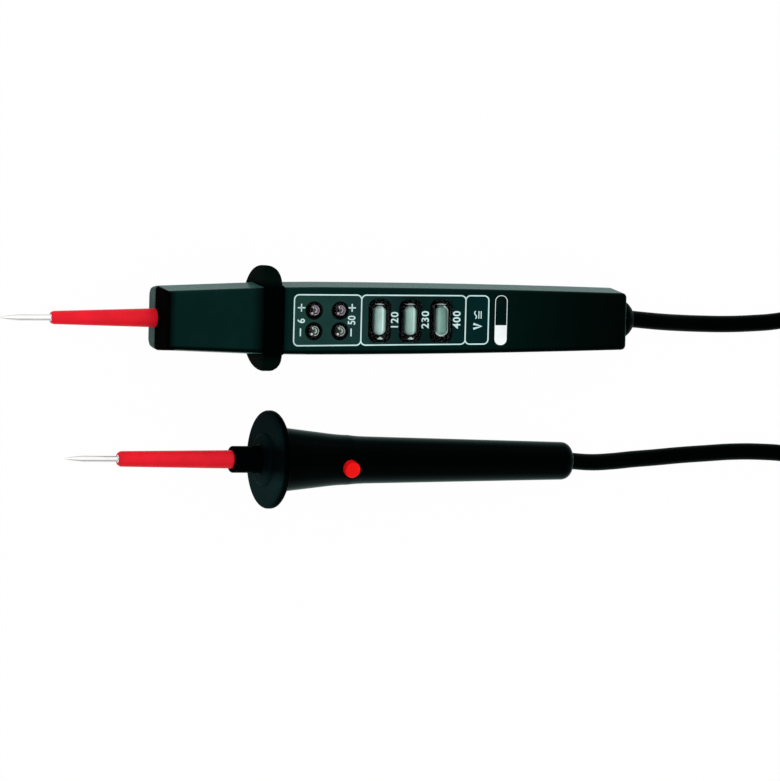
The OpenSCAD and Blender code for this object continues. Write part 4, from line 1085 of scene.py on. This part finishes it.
LAMP_PAINTED_GAIN, LAMP_MOST = 1.28, 0.95
LAMP_H = 11.2
CORE_R, CORE_HALF, CORE_END, CORE_STEPS = 2.12, 5.1, 1.95, 40
# The coating's roughness, grain, depth and index
COATING = (0.5, 0.4, 0.004, 1.2)
# The last lamp's wire: its radius, how far it stands off the core, how high, and its angles
WIRE_R, WIRE_OFF, WIRE_END_OFF, WIRE_H = 0.2, 0.06, 0.1, 0.5
WIRE_TURN = range(80, -126, -5)


def wire(bm, points, sides=10):
    """Round wire through points in the unit's millimetres."""
    rings = []
    for i, p in enumerate(points):
        along = (points[min(i + 1, len(points) - 1)] - points[max(i - 1, 0)]).normalized()
        aside = along.cross(Vector((0, 0, 1))).normalized()
        over = aside.cross(along)
        rings.append([p + (aside * cos(t) + over * sin(t)) * WIRE_R for t in turns(sides)])
    skin(bm, rings)


def core_edge(share):
    """Half width of the core at a share of its half length."""
    straight = 1 - CORE_END / CORE_HALF
    if abs(share) < straight:
        return CORE_R
    return CORE_R * sqrt(max(0, 1 - ((abs(share) - straight) / (1 - straight)) ** 2))


# A pale seal in one tip that paints its bright tick, and a pale ring at the other end that paints a
# highlight arc
SEAL_PROFILE = [(-0.45, AXIS_R), (-0.45, 1.0), (-0.1, 1.1), (0.08, 0.5), (0.5, 0.32),
                (0.55, AXIS_R)]
SEAL_AT = (0.1, -6.2, 0.9)
HIGHLIGHT_RING_SECTION = [(5.72, 1.35), (5.72, 1.62), (5.9, 1.6), (5.9, 1.35)]


def add_lamp_inside(number):
    """Frosted core of a glow lamp with a pale ring that paints a highlight arc, and a pale seal painting
    the other tip's bright tick, or on the last lamp a bent wire, partly an electrode and partly a
    painted highlight.
    """
    u, y, _ = own_centre("glow_lamp_%d" % number)
    centre = (u, y, LAMP_H)
    left, right = ((main_place @ Vector((u + side * CORE_R, y, LAMP_H))).x for side in (-1, 1))
    # The coating's tones, lifted by the painted gain up to a limit
    tones = [(p, scaled_colour(tone, min(LAMP_PAINTED_GAIN, LAMP_MOST / max(tone))))
             for p, tone in LAMP_TONES_AND_HIGHLIGHTS[number - 1]]
    core = ramped_plastic("lamp_coating_and_highlights_%d" % number, ALONG, (left, right), tones, *COATING)
    shares = [cos(pi * k / CORE_STEPS) for k in range(CORE_STEPS + 1)]
    profile = [(-CORE_HALF * s, max(core_edge(s), AXIS_R)) for s in shares]
    turned("lamp_core_%d" % number, profile, centre, ALONG_Y, core, "lamp_glass")
    seal = (finish["seal"], "lamp_glass")
    turned("lamp_highlight_ring_%d" % number, HIGHLIGHT_RING_SECTION, centre, ALONG_Y, *seal, 32, loop=True)
    if number < len(LAMP_TONES_AND_HIGHLIGHTS):
        place = [c + shift for c, shift in zip(centre, SEAL_AT)]
        turned("lamp_seal_%d" % number, SEAL_PROFILE, place, ALONG_Y, *seal, 24)
        return
    path = []
    for degrees in WIRE_TURN:
        share = sin(radians(degrees))
        side = 1 if degrees > -90 else -1
        path.append(Vector((u + side * (core_edge(share) + WIRE_OFF),
                            y + (CORE_HALF + WIRE_END_OFF) * share, LAMP_H + WIRE_H)))
    bm = bmesh.new()
    wire(bm, path)
    add_solid("lamp_wire_%d" % number, bm, *seal)


# Clear caps over the glow lamps, on one thin plate under the face
CAP_HALF = (4.2, 7.75)
CAP_R, CAP_TOP, CAP_T, CAP_FIT = 3.0, 15.0, 0.7, 0.02
CAP_EDGE_R, CAP_INNER_EDGE_R = 0.9, 0.6
LENS_LOW, PLATE_T, PLATE_CORNER_R = 11.2, 1.0, 2.0
WELL_LOW, WELL_T, WELL_FIT = 8.25, 0.15, 0.05


def cap_loop(u, inset, corner_r=None):
    """Outline of a cap, drawn in all round, and its corners with it unless their radius is given."""
    half_u, half_y = CAP_HALF[0] - inset, CAP_HALF[1] - inset
    return rounded_box(u - half_u, u + half_u, -half_y, half_y, corner_r or CAP_R - inset, 9)


def cap_rings(u, drawn_in, edge_r):
    """Loops up a cap's wall and over its rounded top edge."""
    levels = [(LENS_LOW, 0)] + rounded_edge(CAP_TOP - drawn_in, edge_r)
    return [[Vector((*p, h)) for p in cap_loop(u, drawn_in + inset)] for h, inset in levels]


def add_well(name, u):
    """Black tray that shields a lamp from the board below it."""
    outer, inner = cap_loop(u, 0), cap_loop(u, WELL_T)
    rim = LENS_LOW - WELL_FIT
    bm = bmesh.new()
    skin(bm, [[Vector((*p, h)) for p in loop] for loop, h in
              ((inner, WELL_LOW + WELL_T), (inner, rim), (outer, rim), (outer, WELL_LOW))])
    add_solid(name, bm, finish["well"], "insert_plastic")


def add_lens():
    bm = bmesh.new()
    for number, u in enumerate(CAP_U, 1):
        skin(bm, cap_rings(u, CAP_T, CAP_INNER_EDGE_R)[::-1] + cap_rings(u, 0, CAP_EDGE_R))
        add_well("lamp_well_%d" % number, u)
    caps = add_solid("lens_caps", bm, finish["lens"], "lens_plastic")
    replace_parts(caps, "lens_strip")
    low, high = own_box("lens_strip", main_place)
    outline = rounded_box(low.x, high.x, low.y, high.y, PLATE_CORNER_R)
    openings = [cap_loop(u, -CAP_FIT, CAP_R) for u in CAP_U]
    plate = flat_piece("lens_plate", [outline] + openings, LENS_LOW, PLATE_T,
                       finish["lens"], "lens_plastic")
    # Clear pieces let the light through to the lamps
    for piece in (caps, plate, *(nodes["glow_lamp_%d" % number] for number in (1, 2, 3))):
        piece.visible_shadow = False


add_lens()
for number in range(1, 5):
    add_diode_inside(number)
for number in range(1, 4):
    add_lamp_inside(number)


# Stage: a floor, a white room and one soft light
FLOOR_HALF, FLOOR_SCALE = 12.0, 30
WHITE_SHARE = 0.985
SEEN_SHARE = 0.5
# Directions between which the room grows dim towards the second handle's side and downwards
DIM_SIDE, DIM_LOW = (-0.35, -0.75), (0.75, 0.4)
DIM_COLOUR = (0.3, 0.32, 0.31)
LIGHT_PLACE, LIGHT_SIZE, LIGHT_POWER = Vector((0.05, 0.35, 1.2)), (0.9, 0.7), 0.9


def ray_share(tree):
    """How much plain white a ray sees: most for the camera, less for reflections and glass."""
    rays = new_node(tree, "LightPath").outputs
    either = plain_math(tree, "MAXIMUM", rays["Is Glossy Ray"], rays["Is Transmission Ray"])
    part = plain_math(tree, "MULTIPLY", either, SEEN_SHARE)
    camera = plain_math(tree, "MULTIPLY", rays["Is Camera Ray"], WHITE_SHARE)
    return plain_math(tree, "MAXIMUM", part, camera)


def add_floor():
    bm = bmesh.new()
    corners = ((-1, -1), (1, -1), (1, 1), (-1, 1))
    bm.faces.new([bm.verts.new((x * FLOOR_HALF, y * FLOOR_HALF, 0)) for x, y in corners])
    material, tree, shader = new_material("floor")
    vary_colour(tree, shader, (0.87,) * 3, (0.89,) * 3, FLOOR_SCALE)
    set_inputs(shader, {"Roughness": 0.9, "IOR": 1.05})
    glow = new_node(tree, "Emission", {"Strength": 1.0})
    mix = new_node(tree, "MixShader", {"Fac": ray_share(tree), 1: shader.outputs["BSDF"],
                                       2: glow.outputs["Emission"]})
    set_inputs(tree.nodes["Material Output"], {"Surface": mix.outputs["Shader"]})
    mesh = mesh_from("floor", bm)
    mesh.materials.append(material)
    linked("floor", mesh)


def add_world():
    """A white room, dim low down on the second handle's side, as if that wall stood open."""
    world = bpy.data.worlds.new("studio")
    bpy.context.scene.world = world
    world.use_nodes = True
    tree = world.node_tree
    place = new_node(tree, "TexCoord")
    split = new_node(tree, "SeparateXYZ", {"Vector": place.outputs["Generated"]})
    side = to_unit(tree, split.outputs["Y"], *DIM_SIDE)
    low = to_unit(tree, split.outputs["Z"], *DIM_LOW)
    rays = new_node(tree, "LightPath").outputs
    both = plain_math(tree, "MULTIPLY", side, low)
    unseen = plain_math(tree, "SUBTRACT", both, rays["Is Camera Ray"])
    unseen.node.use_clamp = True
    tone = ramp_of(tree, unseen, [(0, (1, 1, 1)), (1, DIM_COLOUR)])
    set_inputs(tree.nodes["Background"], {"Color": tone})


def add_light():
    data = bpy.data.lights.new("top_soft", "AREA")
    data.shape = "RECTANGLE"
    data.size, data.size_y = LIGHT_SIZE
    data.energy = LIGHT_POWER
    lamp = linked("top_soft", data)
    lamp.location = LIGHT_PLACE
    lamp.rotation_mode = "QUATERNION"
    lamp.rotation_quaternion = (-LIGHT_PLACE).to_track_quat("-Z", "Y")


add_floor()
add_world()
add_light()

bpy.context.scene.view_settings.view_transform = "Standard"
